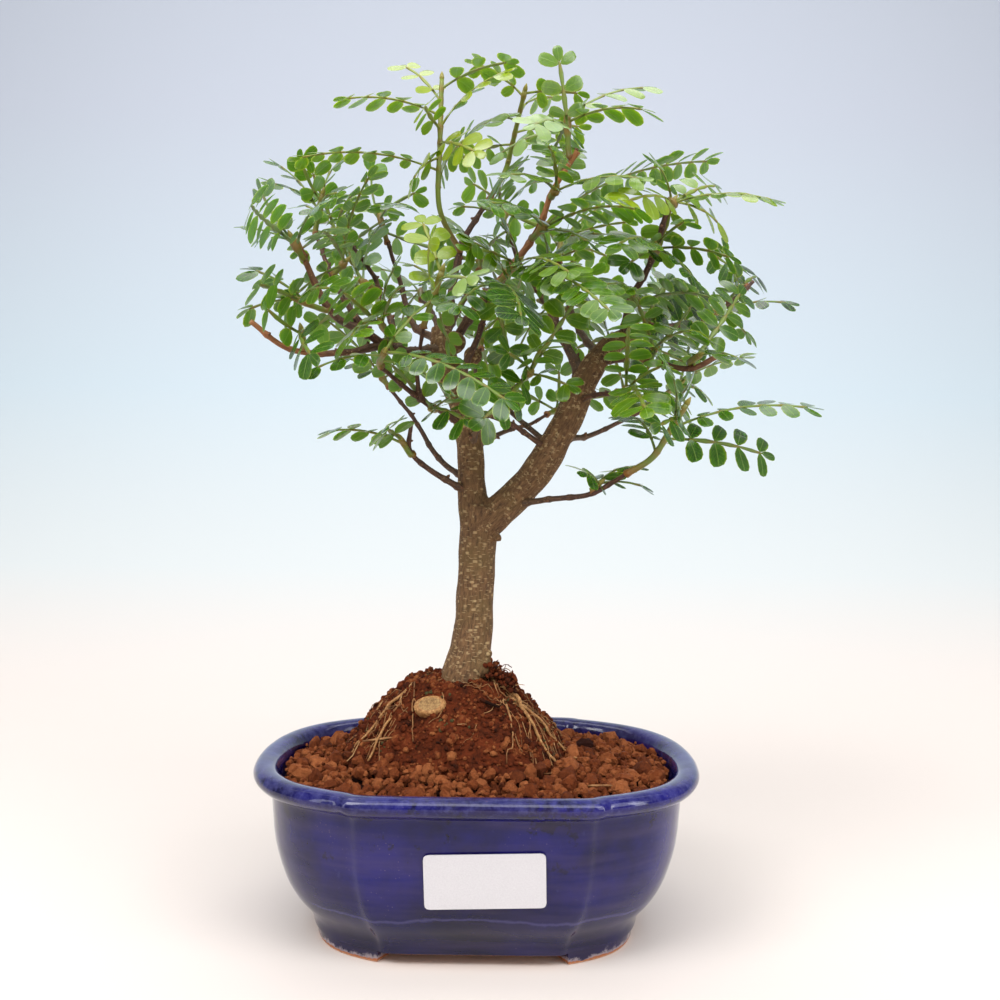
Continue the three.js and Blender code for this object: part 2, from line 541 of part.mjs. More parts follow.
// Label: a blank sticker with round corners, leaning with the wall and a little askew
function makeLabel() {
  const [w, h, r] = [LABEL_WIDTH / 2, LABEL_HEIGHT / 2, LABEL_CORNER];
  const outline = new THREE.Shape();
  outline.moveTo(-w + r, -h).lineTo(w - r, -h).quadraticCurveTo(w, -h, w, -h + r);
  outline.lineTo(w, h - r).quadraticCurveTo(w, h, w - r, h).lineTo(-w + r, h);
  outline.quadraticCurveTo(-w, h, -w, h - r).lineTo(-w, -h + r).quadraticCurveTo(-w, -h, -w + r, -h);
  const sticker = new THREE.ExtrudeGeometry(outline,
    { depth: LABEL_THICKNESS, bevelEnabled: false, curveSegments: 3 });
  sticker.rotateZ(LABEL_TURN).rotateX(Math.PI / 2 + LABEL_LEAN).translate(...LABEL_CENTRE);
  addPiece("label", solidOf(sticker), paper);
}

// A place on a limb: its middle, direction and bark radius at a share of its length
function spotOn([points, radii], share) {
  const steps = stepsAlong(points);
  const stations = bentLine(points).getSpacedPoints(steps);
  const from = Math.min(Math.floor(share * steps), steps - 1);
  const direction = stations[from + 1].clone().sub(stations[from]).normalize();
  const middle = placeAlong(stations, share);
  return { middle, direction, radius: radiusAt(radii, share) };
}

// Spots close together along every limb, for keeping the fronds off the bark
function barkSpots() {
  const found = [];
  for (const limb of Object.values(WOOD)) {
    const count = SPOTS_PER_STRETCH * (limb[0].length - 1);
    for (let k = 0; k <= count; k++) found.push(spotOn(limb, k / count));
  }
  return found;
}

// The outline of a frond, flat: x along the rib, y across. Each leaflet widens from
// the rib to a blunt end, and so does the one at the tip of the frond.
function frondOutline(length) {
  const pairs = length > LONG_FROND ? 3 : length > MIDDLE_FROND ? 2 : 1;
  const endRoot = length - END_LEAFLET_ROOT * LEAFLET_LENGTH;
  const first = BARE_SHARE * length;
  const step = (endRoot - first) / pairs;
  const right = [[-RIB_SEAT, RIB_HALF_WIDTH], [first, RIB_HALF_WIDTH]];
  for (let pair = 0; pair < pairs; pair++) {
    const root = first + pair * step;
    const size = END_LEAFLET_SIZE + MIDDLE_LEAFLET_GAIN * Math.sin(((pair + 1) / (pairs + 1)) * Math.PI);
    const place = (x, share) => {
      const out = share * size * LEAFLET_LENGTH;
      return [x + out * Math.cos(LEAFLET_ANGLE), out * Math.sin(LEAFLET_ANGLE)];
    };
    right.push(place(root + LEAFLET_INSET * step, LEAFLET_SHOULDER));
    right.push(place(root + (1 - LEAFLET_INSET) * step, 1));
    right.push([root + step, RIB_HALF_WIDTH]);
  }
  right.push([length, END_LEAFLET_HALF_WIDTH]);
  const left = right.map(([x, y]) => [x, -y]).reverse();
  return [...right, ...left].map(([x, y]) => new THREE.Vector2(x, y));
}

// How a frond lies: from its base to its tip, arched up and rolled about its rib
function frondFrame(base, tip, roll) {
  const along = tip.clone().sub(base);
  const length = Math.max(along.length(), SHORTEST_FROND);
  along.normalize();
  const outward = new THREE.Vector3(base.x - CROWN_CENTRE.x, base.y - CROWN_CENTRE.y, 0);
  outward.setLength(FACING_OUT);
  const facing = new THREE.Vector3(outward.x, outward.y, FACING_UP);
  const normal = facing.clone().sub(along.clone().multiplyScalar(facing.dot(along))).normalize();
  const side = normal.clone().cross(along);
  const up = normal.clone().multiplyScalar(Math.cos(roll)).add(side.clone().multiplyScalar(Math.sin(roll)));
  const across = side.multiplyScalar(Math.cos(roll)).sub(normal.multiplyScalar(Math.sin(roll)));
  const arch = (x) => ARCH * length * 4 * (x / length) * (1 - x / length);
  const at = (x, y, z) => base.clone()
    .add(along.clone().multiplyScalar(x))
    .add(across.clone().multiplyScalar(y))
    .add(up.clone().multiplyScalar(arch(x) + z - DROOP * Math.abs(y)));
  return { length, at };
}

// Points spread over a frond's blade, for keeping it clear of what is near
function frondSamples(frame) {
  const samples = [];
  const reach = frame.length - 0.4 * LEAFLET_LENGTH;
  for (let x = FIRST_SPOT; x <= frame.length; x += SPOT_STEP) {
    const half = x < 0.25 * reach ? 0 : 0.9 * LEAFLET_LENGTH;
    const across = x > reach ? [0] : [-half, -0.5 * half, 0, 0.5 * half, half];
    for (const y of across) samples.push(frame.at(x, y, 0));
  }
  return samples;
}

function farFromPoints(samples, others, gap) {
  return samples.every((sample) => others.every((other) => other.distanceToSquared(sample) > gap * gap));
}

function farFromBark(samples, spots, gap) {
  return samples.every((sample) => spots.every(({ middle, radius }) => (
    middle.distanceToSquared(sample) > (radius + gap) * (radius + gap)
  )));
}

// Where each green shoot runs: it stands square on the bark and bends to its end
function shootLayout([branch, place, end]) {
  const { middle, direction, radius } = spotOn(WOOD[branch], place);
  const shootEnd = new THREE.Vector3(...end);
  const away = shootEnd.clone().sub(middle);
  const sideways = away.sub(direction.clone().multiplyScalar(away.dot(direction))).normalize();
  const out = place < 1 ? sideways : direction;
  const start = middle.clone().add(out.clone().multiplyScalar((place < 1 ? radius : 0) + SHOOT_SEAT));
  const length = start.distanceTo(shootEnd);
  const knee = start.clone().add(out.clone().multiplyScalar(KNEE * length));
  const steps = length > LONG_SHOOT ? 3 : 1;
  const route = [start, knee, shootEnd].map((p) => p.toArray());
  const stations = bentLine(route).getSpacedPoints(steps);
  return { route, steps, at: (share) => placeAlong(stations, share) };
}

// Sprays: a green shoot with its fronds, grown as one piece that stands just off the bark
function makeSprays() {
  const spots = barkSpots();
  const draw = seededDraw(SEEDS.sprays);
  const shoots = SPRAYS.map(shootLayout);
  const shares = Array.from({ length: SPOTS_PER_SHOOT }, (_, k) => k / (SPOTS_PER_SHOOT - 1));
  const shootSpots = shoots.map(({ at }) => shares.map(at));
  const placed = [];
  SPRAYS.forEach(([, , , tips], index) => {
    const { route, steps, at } = shoots[index];
    const otherShoots = shootSpots.filter((_, other) => other !== index).flat();
    let spray = solidOf(taperedTube(route, SHOOT_RADIUS, SHOOT_SIDES, steps));
    const own = [];
    tips.forEach((tipPoint, order) => {
      const base = at(FIRST_FROND + FROND_SHARE * ((order + 1) / tips.length));
      const target = new THREE.Vector3(...tipPoint);
      const turn = THREE.MathUtils.degToRad(tipPoint[3] ?? 0);
      for (let attempt = 0; attempt < TRIES; attempt++) {
        const nudge = new THREE.Vector3(draw() - 0.5, draw() - 0.5, draw() - 0.5);
        const further = (draw() - 0.5) * SIGHT_WANDER * attempt;
        const roll = turn + (draw() - 0.5) * (ROLL + MORE_ROLL * attempt);
        const tip = target.clone()
          .add(target.clone().sub(FRONT_VIEW).multiplyScalar(further))
          .add(nudge.multiplyScalar(WANDER * attempt));
        if (tip.y <= FRONT_LIMIT || tip.y >= BACK_LIMIT) continue;
        const frame = frondFrame(base, tip, roll);
        const samples = frondSamples(frame);
        const outer = samples.filter((sample) => sample.distanceTo(base) > FORK_ROOM);
        const stalk = STALK_SPOTS.map((x) => frame.at(x, 0, 0));
        const clear = farFromPoints(samples, placed, CLEARANCE)
          && farFromPoints(samples, otherShoots, CLEARANCE)
          && farFromPoints(outer, own, FORK_CLEARANCE)
          && farFromBark(samples, spots, BARK_CLEARANCE)
          && farFromBark(stalk, spots, STALK_CLEARANCE);
        if (clear) {
          spray = spray.add(solidOf(frondBlade(frame)));
          own.push(...samples);
          return;
        }
      }
    });
    placed.push(...own);
    addPiece(`spray_${String(index + 1).padStart(2, "0")}`, spray, leaf);
  });
}

// A frond's thin blade, cut flat from its outline and then bent
function frondBlade(frame) {
  const outline = new THREE.Shape(frondOutline(frame.length));
  const blade = new THREE.ExtrudeGeometry(outline, { depth: BLADE_THICKNESS, bevelEnabled: false });
  const position = blade.attributes.position;
  for (let i = 0; i < position.count; i++) {
    const bent = frame.at(position.getX(i), position.getY(i), position.getZ(i) - BLADE_THICKNESS / 2);
    position.setXYZ(i, bent.x, bent.y, bent.z);
  }
  return blade;
}

makePot();
makeNets();
makeSoil();
makeRootBall();
makeWood();
makeLabel();
makeSprays();

// Origin under the middle of the whole object's footprint
const footprint = new THREE.Box3().setFromObject(bonsai).getCenter(new THREE.Vector3());
bonsai.position.set(-footprint.x, -footprint.y, 0);

export default bonsai;
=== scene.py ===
import math

import bmesh
import bpy
import numpy as np
from mathutils import Matrix, Vector, kdtree, noise


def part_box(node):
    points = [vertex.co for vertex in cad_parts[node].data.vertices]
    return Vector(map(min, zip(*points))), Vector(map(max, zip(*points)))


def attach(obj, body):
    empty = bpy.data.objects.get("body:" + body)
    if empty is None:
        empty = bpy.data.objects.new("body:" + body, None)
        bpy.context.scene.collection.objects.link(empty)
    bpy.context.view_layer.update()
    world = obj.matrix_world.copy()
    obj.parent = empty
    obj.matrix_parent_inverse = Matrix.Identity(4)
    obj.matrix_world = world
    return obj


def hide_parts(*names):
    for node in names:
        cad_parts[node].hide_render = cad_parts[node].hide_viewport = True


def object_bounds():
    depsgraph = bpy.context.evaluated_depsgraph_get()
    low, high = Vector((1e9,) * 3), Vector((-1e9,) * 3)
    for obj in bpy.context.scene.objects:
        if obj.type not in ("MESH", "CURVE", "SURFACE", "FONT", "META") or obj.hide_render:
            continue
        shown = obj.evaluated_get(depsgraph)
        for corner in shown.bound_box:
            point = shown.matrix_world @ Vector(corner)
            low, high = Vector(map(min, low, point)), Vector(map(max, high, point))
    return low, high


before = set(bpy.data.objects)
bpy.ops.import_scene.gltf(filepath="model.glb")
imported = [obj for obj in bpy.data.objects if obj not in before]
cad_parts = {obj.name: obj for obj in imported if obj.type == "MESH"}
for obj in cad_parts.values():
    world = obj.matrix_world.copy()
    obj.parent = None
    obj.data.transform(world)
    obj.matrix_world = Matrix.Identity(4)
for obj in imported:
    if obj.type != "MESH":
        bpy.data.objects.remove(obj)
cad_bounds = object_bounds()

# Japanese pepper bonsai (Zanthoxylum) in a blue glazed pot with a rolled lip.
# Lengths are millimetres round the middle of the pot, with z = 0 under its feet.
# TO_FRAME puts a finished piece into the frame, which is in metres.
pot_low, pot_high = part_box("pot")
POT_MIDDLE = Vector(((pot_low.x + pot_high.x) / 2, (pot_low.y + pot_high.y) / 2, 0))
TO_FRAME = Matrix.Translation(POT_MIDDLE) @ Matrix.Scale(0.001, 4)

# Camera, as the photograph was taken
CAMERA_PLACE = (7.8, -434, 181)
FRONT_VIEW = np.array(CAMERA_PLACE, float)
CAMERA_LENS, SENSOR_WIDTH = 37.8, 36
CAMERA_PITCH = math.radians(89)
CAMERA_ROLL = math.radians(0.8)

# Pot
RIM_HALF_WIDTH, RIM_HALF_DEPTH = 90, 69
FOOT_HALF_WIDTH, FOOT_HALF_DEPTH, FOOT_HEIGHT, FOOT_WALL = 65, 46.5, 5, 9
DRAIN_RADIUS, DRAIN_SPACING = 7, 30
RIM_QUARTER = [(0, 69), (24, 69), (43, 68.3), (49, 65.2), (57, 61.6),
               (67, 55.8), (76, 47.8), (83, 37), (87.5, 24), (89.5, 11)]
RIM_STEPS = 5
FEET = [(3, 8), (12, 17), (23, 28), (32, 37)]
POT_UNDERSIDE = [(58, 40, 7), (59.5, 41.5, 6.6), (60, 42, 5), (61, 43, 4.5), (65, 46, 4.5)]
POT_BODY = [(66, 47, 5), (66.9, 48, 9), (69.4, 50, 13), (73.6, 53.3, 18), (77.8, 56.8, 26),
            (81.5, 59.5, 39), (83, 61, 56), (84.2, 62.4, 60.5), (87.6, 66, 61.6), (90, 69, 65),
            (88.9, 67.9, 68), (86, 65, 69), (82, 61, 68), (80, 59, 64), (79, 58, 58),
            (69, 48, 20)]
POT_FLOOR = [(60, 40, 12.4), (58, 39, 12)]
BODY_STEPS = 3

# Soil and root ball
SOIL_EDGE_LEVEL, SOIL_CREST_LEVEL = 63, 68
SOIL_HALF_WIDTH, SOIL_HALF_DEPTH = 79.2, 58.2
BALL_CENTRE = (-8, 3)
BALL_HALF_WIDTH, BALL_HALF_DEPTH, BALL_TOP = 50, 38, 102
BALL_FLANK = [(1, 0), (0.93, 0.1), (0.84, 0.26), (0.74, 0.47), (0.6, 0.67), (0.43, 0.92), (0.22, 1), (0, 1)]

# Trunk, limbs and twigs: points along the middle, and radii from base to tip
WOOD = {
    "trunk": ([[-9, 1, 80], [-7, 0, 96], [-3, 0, 115], [-2, 0, 134], [-1, 0, 158], [1, 0, 171]],
        [12.5, 9.5, 8.3, 7.6, 7.8, 8]),
    "left_trunk": ([[-1, 0, 158], [-4, 2, 178], [-5, 4, 196], [-9, 6, 214], [-16, 8, 231],
        [-18, 10, 246]], [7.4, 6, 5.6, 5.4, 6.2, 4.2]),
    "right_trunk": ([[0, 0, 162], [13, -2, 174], [24, -4, 187], [34, -6, 205], [41, -4, 221], [50, 0, 235],
        [65, 4, 246]], [7, 6.6, 6.4, 6, 5.6, 4.6, 3]),
    "long_orange": ([[-15, 8, 234], [-5, 0, 250], [9, -8, 265], [21, -14, 281], [27, -18, 296],
        [36, -22, 310]], [3.4, 3, 2.6, 2.1, 1.8, 1.6]),
    "branch_front": ([[-9, 5, 214], [-7, -6, 227], [-1, -14, 241], [3, -20, 256]], [2.4, 1.9, 1.6, 1.2]),
    "dark_top": ([[-17, 9, 240], [-12, 26, 278], [-7, 32, 293], [1, 38, 307]], [3, 2.2, 1.8, 1.3]),
    "dark_right": ([[40, -2, 226], [25, 20, 260], [18, 30, 270], [14, 38, 282], [8, 46, 298]],
        [2.8, 2.2, 1.8, 1.5, 1.1]),
    "dark_middle": ([[-16, 9, 243], [-7, 33, 266], [-3, 44, 277]], [2, 1.5, 1.1]),
    "back_left_up": ([[-18, 10, 240], [-31, 24, 249], [-39, 40, 272], [-46, 52, 291]], [2.4, 1.8, 1.4, 1.1]),
    "left_limb": ([[-16, 8, 236], [-34, -2, 234], [-45, -10, 239], [-51, -14, 246]], [3.4, 2.8, 2.4, 2]),
    "left_cut": ([[-46, -11, 240], [-59, -18, 246], [-67, -24, 261], [-72, -28, 273]], [2.2, 1.9, 1.6, 1.5]),
    "left_dark": ([[-49, -13, 243], [-64, 8, 266], [-74, 24, 288]], [1.8, 1.4, 1]),
    "left_back": ([[-34, -2, 234], [-47, 28, 266], [-57, 40, 282], [-65, 50, 291]], [2, 1.6, 1.3, 1]),
    "left_long": ([[-40, -6, 236], [-55, -18, 231], [-74, -28, 231], [-87, -38, 240]], [2.6, 2.1, 1.8, 1.6]),
    "left_low": ([[-8, 5, 205], [-22, -14, 212], [-31, -28, 218], [-38, -40, 224]], [2, 1.6, 1.3, 1]),
    "water_shoot": ([[-24, -17, 213], [-25, -26, 222], [-24, -30, 230], [-22, -34, 240]], [1.3, 1.1, 1, 0.9]),
    "left_lowest": ([[-4, 1, 176], [-20, -12, 185], [-28, -20, 193], [-27, -25, 204]], [2, 1.6, 1.3, 1]),
    "left_lowest_back": ([[-5, 2, 180], [-19, 16, 191], [-30, 32, 207], [-44, 46, 224]], [1.8, 1.5, 1.2, 1]),
    "inner_front": ([[-5, 4, 192], [-1, -6, 204], [8, -16, 213], [17, -24, 222], [25, -30, 234]],
        [1.8, 1.5, 1.3, 1.1, 0.9]),
    "inner_back": ([[-5, 4, 194], [10, 22, 203], [21, 34, 207], [29, 42, 212]], [1.7, 1.4, 1.1, 0.9]),
    "inner_low": ([[27, -4, 194], [15, -18, 202], [4, -32, 206]], [1.6, 1.3, 1]),
    "inner_rear": ([[28, -4, 196], [9, 24, 214], [-4, 42, 229], [-2, 54, 243]], [1.7, 1.4, 1.1, 0.9]),
    "right_lowest": ([[14, -3, 172], [33, -20, 175], [44, -28, 177], [56, -38, 185]], [1.9, 1.5, 1.3, 1.1]),
    "right_low": ([[33, -5, 199], [45, 12, 201], [58, 22, 207], [72, 32, 214]], [1.9, 1.5, 1.2, 1]),
    "right_front": ([[38, -5, 214], [45, -18, 216], [53, -30, 216]], [1.6, 1.3, 1]),
    "right_cut": ([[46, -1, 231], [61, -10, 231], [80, -24, 226], [90, -30, 230]], [2.2, 1.8, 1.5, 1.4]),
    "right_long": ([[54, 1, 238], [66, 8, 246], [83, 16, 249], [98, 20, 253], [117, 26, 270]],
        [2.4, 1.9, 1.6, 1.3, 1]),
    "right_up": ([[58, 2, 241], [60, -2, 256], [65, -8, 265], [69, -14, 276], [72, -20, 289]],
        [2.4, 1.9, 1.7, 1.5, 1.4]),
    "back_top": ([[48, 0, 233], [40, 34, 253], [34, 62, 285]], [2.4, 1.7, 1.1]),
    "back_left": ([[-17, 9, 240], [-25, 46, 259], [-31, 66, 267]], [2, 1.5, 1.1]),
    "back_right": ([[60, 3, 243], [72, 40, 252], [79, 60, 263]], [2, 1.5, 1.1]),
}
ROOTS = {
    "root_left": ([[-14, 0, 101], [-30, -6, 96], [-43, -11, 83], [-52, -13, 74]], [3.5, 2, 1.4, 1]),
    "root_left_fork": ([[-32, -7, 94], [-38, -16, 83], [-43, -21, 74]], [1.6, 1.3, 1]),
    "root_right": ([[0, 0, 102], [13, -8, 97], [27, -14, 85], [38, -17, 73]], [3.4, 2.2, 1.6, 1]),
    "root_right_fork": ([[14, -8, 97], [29, -5, 87], [40, -5, 74]], [1.9, 1.4, 1]),
    "root_back": ([[-6, 6, 101], [-9, 20, 97], [-13, 36, 76]], [3.4, 2.2, 1.2]),
    "root_back_right": ([[0, 5, 101], [16, 17, 94], [29, 29, 77]], [3, 2, 1.1]),
}

# Leafy sprays: the branch, how far along, the end of the green shoot, the fronds' tips
SPRAYS = [
    ("dark_top", 0.6, [-19, 8, 349], [[-81, -2, 311, 34], [-29, -14, 298], [0, -24, 307], [-23, -26, 326],
        [-61, -12, 332, 48], [-39, 24, 361], [13, -6, 351]]),
    ("dark_top", 1, [16, 17, 348], [[-18, 60, 329], [47, 45, 342], [-3, -14, 321], [33, 48, 356],
        [-10, 20, 362]]),
    ("dark_middle", 1, [-3, 50, 285], [[-23, 80, 308], [16, 85, 307], [6, 88, 276]]),
    ("back_left_up", 1, [-50, 54, 304], [[-54, 60, 333], [-77, 85, 321], [-36, 20, 299], [-31, 88, 325]]),
    ("left_dark", 1, [-70, 18, 303], [[-99, 30, 311], [-78, 6, 318], [-62, 36, 325]]),
    ("left_dark", 0.55, [-58, 6, 272], [[-43, -14, 306], [-61, -44, 271]]),
    ("left_cut", 0.85, [-73, -32, 273], [[-56, -50, 283], [-92, -40, 274], [-82, -60, 278], [-88, -30, 295],
        [-90, 0, 281]]),
    ("left_cut", 0.4, [-72, -30, 250], [[-93, -30, 262], [-82, -55, 251], [-50, -60, 248], [-86, -40, 243]]),
    ("left_back", 1, [-71, 56, 297], [[-91, 75, 313], [-63, 82, 325], [-93, 66, 285]]),
    ("left_back", 0.5, [-54, 20, 267], [[-76, 50, 263], [-47, 56, 301], [-61, 44, 253]]),
    ("left_limb", 0.6, [-40, -24, 243], [[-51, -55, 249], [-27, -52, 252], [-47, -58, 229]]),
    ("left_low", 1, [-35, -50, 228], [[-65, -52, 218, -18], [14, -80, 205]]),
    ("left_long", 0.6, [-69, -32, 238], [[-92, -8, 256], [-57, -64, 222]]),
    ("left_lowest", 0.7, [-31, -26, 197], [[-60, -45, 198], [-34, -56, 199]]),
    ("water_shoot", 1, [-15, -42, 259], [[-17, -55, 273], [-28, -46, 259], [-1, -62, 251], [-25, -30, 283]]),
    ("left_low", 0.35, [-20, -22, 209], [[-2, -50, 201]]),
    ("left_lowest_back", 1, [-48, 50, 229], [[-68, 75, 239], [-45, 80, 249]]),
    ("inner_front", 0.75, [19, -34, 223], [[37, -45, 214], [27, -60, 232], [6, -62, 229]]),
    ("inner_back", 1, [33, 48, 214], [[50, 70, 228], [37, 85, 234]]),
    ("right_lowest", 0.7, [46, -30, 181], [[39, -45, 183], [54, -40, 179]]),
    ("right_lowest", 1, [75, -52, 210], [[110, -42, 191, -34], [123, -60, 208, 16], [59, -75, 199],
        [62, -44, 209]]),
    ("right_low", 1, [89, 42, 227], [[124, 50, 240], [105, 70, 224], [98, 78, 249]]),
    ("right_front", 1, [56, -36, 217], [[69, -55, 224], [60, -62, 204]]),
    ("right_cut", 0.4, [68, -20, 234], [[78, -58, 235], [58, -55, 217]]),
    ("right_cut", 0.8, [83, -34, 230], [[95, -60, 224]]),
    ("right_long", 0.95, [110, 30, 267], [[102, 30, 286], [126, 58, 278], [113, 75, 284]]),
    ("right_long", 0.6, [100, 14, 255], [[133, 10, 257, -22], [114, 40, 251]]),
    ("right_long", 0.28, [69, 20, 254], [[52, 50, 270], [92, 65, 278], [79, 60, 248]]),
    ("right_up", 1, [74, -20, 292], [[113, -40, 286, -20], [98, 10, 306], [63, -34, 304], [49, -50, 282],
        [97, -8, 284]]),
    ("right_up", 0.7, [67, -20, 274], [[98, -35, 265], [74, -60, 275], [46, -60, 264], [56, -30, 264]]),
    ("right_up", 0.3, [63, -14, 254], [[86, -50, 248], [39, -60, 249]]),
    ("long_orange", 0.97, [32, -20, 325], [[27, -30, 348, 74], [15, -50, 309], [63, -44, 318],
        [69, -6, 341]]),
    ("long_orange", 0.8, [28, -24, 295], [[63, -45, 292], [6, -55, 290], [22, -60, 301]]),
    ("long_orange", 0.62, [24, -24, 281], [[43, -44, 267], [57, -65, 276], [-1, -60, 279],
        [86, -35, 301, 18]]),
    ("long_orange", 0.4, [14, -18, 268], [[49, -70, 238], [33, -70, 251], [-10, -50, 266], [6, -60, 270]]),
    ("dark_right", 1, [8, 50, 305], [[-15, 30, 302], [-11, 75, 326], [27, 75, 327], [10, 50, 326]]),
    ("dark_right", 0.45, [22, 36, 276], [[47, 60, 297], [50, 75, 269]]),
    ("branch_front", 1, [5, -28, 257], [[-10, -65, 239], [14, -68, 234]]),
    ("back_top", 1, [35, 70, 297], [[58, 85, 318], [64, 95, 293], [71, 62, 304]]),
    ("back_top", 0.6, [25, 60, 266], [[56, 90, 262]]),
    ("inner_rear", 1, [-2, 60, 250], [[-23, 85, 265], [14, 90, 264], [7, 88, 235]]),
    ("right_trunk", 0.85, [55, 20, 245], [[40, 10, 262], [37, 38, 240]]),
    ("back_left", 1, [-32, 75, 273], [[-58, 95, 287], [-18, 100, 292], [-44, 95, 256]]),
    ("back_right", 1, [83, 70, 269], [[76, 95, 298], [104, 90, 258]]),
]

# Shoots and fronds lie as the part's own do. A tip's fourth number turns its frond.
SHOOT_SEAT, LONG_SHOOT, KNEE, FIRST_FROND, FROND_SHARE = 0.5, 30, 0.3, 0.45, 0.5
LEAFLET_LENGTH, ARCH, DROOP, SHORTEST_FROND = 9.6, 0.09, 0.16, 24
CROWN_CENTRE = np.array((5.0, 0.0, 250.0))
FACING_OUT, FACING_UP = 0.7, 0.9
CLEARANCE, BARK_CLEARANCE, STALK_CLEARANCE, FORK_ROOM, FORK_CLEARANCE = 3.2, 1.8, 0.9, 11, 2.4
FIRST_SPOT, SPOT_STEP, STALK_SPOTS, SPOTS_PER_SHOOT, SPOTS_PER_STRETCH = 7, 3.5, (3, 5), 13, 8
TRIES, SIGHT_WANDER, WANDER, ROLL, MORE_ROLL = 160, 0.0022, 0.06, 0.7, 0.012
FRONT_LIMIT, BACK_LIMIT = -88, 98
# The part's own seed for its sprays, and one for each thing that only this model adds
SPRAY_SEED, SOIL_SEED, BALL_SEED, LIMB_SEED, EXTRA_SEED, LEAF_SEED = 5, 31, 47, 71, 97, 13

# Fronds added to each spray beyond the part's own: tries for each, how clear they stay
EXTRA_FRONDS, EXTRA_TRIES, EXTRA_CLEARANCE, EXTRA_FORK_ROOM, BOX_MARGIN = 2, 60, 2.2, 9, 4

# Edge of the crown seen from the front, in the plane of the pot's middle
CROWN_OUTLINE = [(-62, 337), (-56, 343), (-38, 345), (-37, 353), (-23, 351), (-16, 344), (-7, 349),
                 (-11, 355), (-3, 358), (18, 357), (24, 354), (25, 361), (36, 362), (44, 358), (45, 348),
                 (57, 349), (72, 345), (71, 334), (52, 332), (43, 333), (44, 319), (72, 314), (91, 315),
                 (94, 305), (107, 298), (124, 301), (124, 295), (101, 288), (115, 273), (115, 262),
                 (131, 258), (131, 253), (110, 250), (107, 244), (116, 237), (113, 229), (92, 226),
                 (86, 217), (143, 217), (143, 211), (88, 206), (122, 201), (122, 193), (95, 188),
                 (75, 197), (68, 185), (59, 174), (45, 174), (40, 183), (52, 187), (32, 219), (27, 214),
                 (19, 203), (3, 197), (-6, 205), (-17, 197), (-34, 194), (-69, 197), (-69, 203),
                 (-36, 208), (-47, 221), (-75, 221), (-76, 228), (-60, 234), (-77, 236), (-98, 245),
                 (-101, 270), (-104, 284), (-96, 304), (-82, 319), (-68, 320), (-52, 317), (-35, 320),
                 (-19, 329), (-19, 332), (-62, 332)]


def linear(hex_colour):
    """An sRGB hex colour as linear RGBA."""
    channels = [int(hex_colour[k:k + 2], 16) / 255 for k in (1, 3, 5)]
    return (*[c / 12.92 if c <= 0.04045 else ((c + 0.055) / 1.055) ** 2.4 for c in channels], 1)


def add_node(material, kind, settings=None, links=None):
    """Adds a node. A key is an input's name or number, one of the node's own settings, or a ramp's stops."""
    node = material.node_tree.nodes.new(kind)
    for key, value in (settings or {}).items():
        if key == "stops":
            stops = node.color_ramp.elements
            stops.remove(stops[-1])
            stops[0].position, stops[0].color = value[0]
            for place, colour in value[1:]:
                stops.new(place).color = colour
        elif isinstance(key, int) or key in node.inputs:
            node.inputs[key].default_value = value
        else:
            setattr(node, key, value)
    for key, source in (links or {}).items():
        if isinstance(source, bpy.types.Node):
            source = next(output for output in source.outputs if output.enabled)
        material.node_tree.links.new(source, node.inputs[key])
    return node


class Pattern:
    """A procedural material, with short ways to add what its colour, gloss and relief are made of."""

    def __init__(self, name, roughness=0.5, **settings):
        self.material = bpy.data.materials.new(name)
        self.material.use_nodes = True
        self.shader = self.material.node_tree.nodes["Principled BSDF"]
        for key, value in {"Roughness": roughness, **settings}.items():
            self.shader.inputs[key.replace("_", " ")].default_value = value
        place = add_node(self.material, "ShaderNodeTexCoord").outputs["Object"]
        self.place = self.stretch(place, (1000, 1000, 1000))

    def stretch(self, place, scale):
        return add_node(self.material, "ShaderNodeMapping", {"Scale": scale}, {"Vector": place})

    def split(self, place):
        return add_node(self.material, "ShaderNodeSeparateXYZ", {}, {"Vector": place}).outputs

    def carried(self, attribute):
        """A value that the piece itself carries: a spot's place on its part, or the part's tone."""
        return add_node(self.material, "ShaderNodeAttribute", {"attribute_name": attribute}).outputs["Vector"]

    def noise(self, scale, detail=2, roughness=0.5, place=None):
        return add_node(self.material, "ShaderNodeTexNoise",
                        {"Scale": scale, "Detail": detail, "Roughness": roughness},
                        {"Vector": place or self.place})

    def cells(self, place, scale):
        return add_node(self.material, "ShaderNodeTexVoronoi", {"Scale": scale}, {"Vector": place})

    def fade(self, value, start, end, most=1, least=0):
        """A value that goes from least to most while another goes from start to end."""
        return add_node(self.material, "ShaderNodeMapRange", {
            "From Min": start, "From Max": end, "To Min": least, "To Max": most}, {"Value": value})

    def reckon(self, operation, *values):
        settings, links = {"operation": operation}, {}
        for key, value in enumerate(values):
            (settings if isinstance(value, (int, float)) else links)[key] = value
        return add_node(self.material, "ShaderNodeMath", settings, links)

    def ramp(self, value, *stops):
        return add_node(self.material, "ShaderNodeValToRGB",
                        {"stops": [(share, linear(colour)) for share, colour in stops]}, {"Fac": value})

    def tint(self, amount, under, over, blend="MIX"):
        """One colour over another, each a hex colour or a node."""
        settings, links = {"data_type": "RGBA", "blend_type": blend}, {}
        for key, value in ((0, amount), (6, under), (7, over)):
            if isinstance(value, str):
                settings[key] = linear(value)
            else:
                (settings if isinstance(value, float) else links)[key] = value
        return add_node(self.material, "ShaderNodeMix", settings, links)

    def finish(self, colour, height=None, strength=0, distance=0, roughness=None):
        relief = height and add_node(self.material, "ShaderNodeBump",
                                     {"Strength": strength, "Distance": distance}, {"Height": height})
        for socket, source in (("Base Color", colour), ("Normal", relief), ("Roughness", roughness)):
            if source:
                output = next(output for output in source.outputs if output.enabled)
                self.material.node_tree.links.new(output, self.shader.inputs[socket])
        return self.material


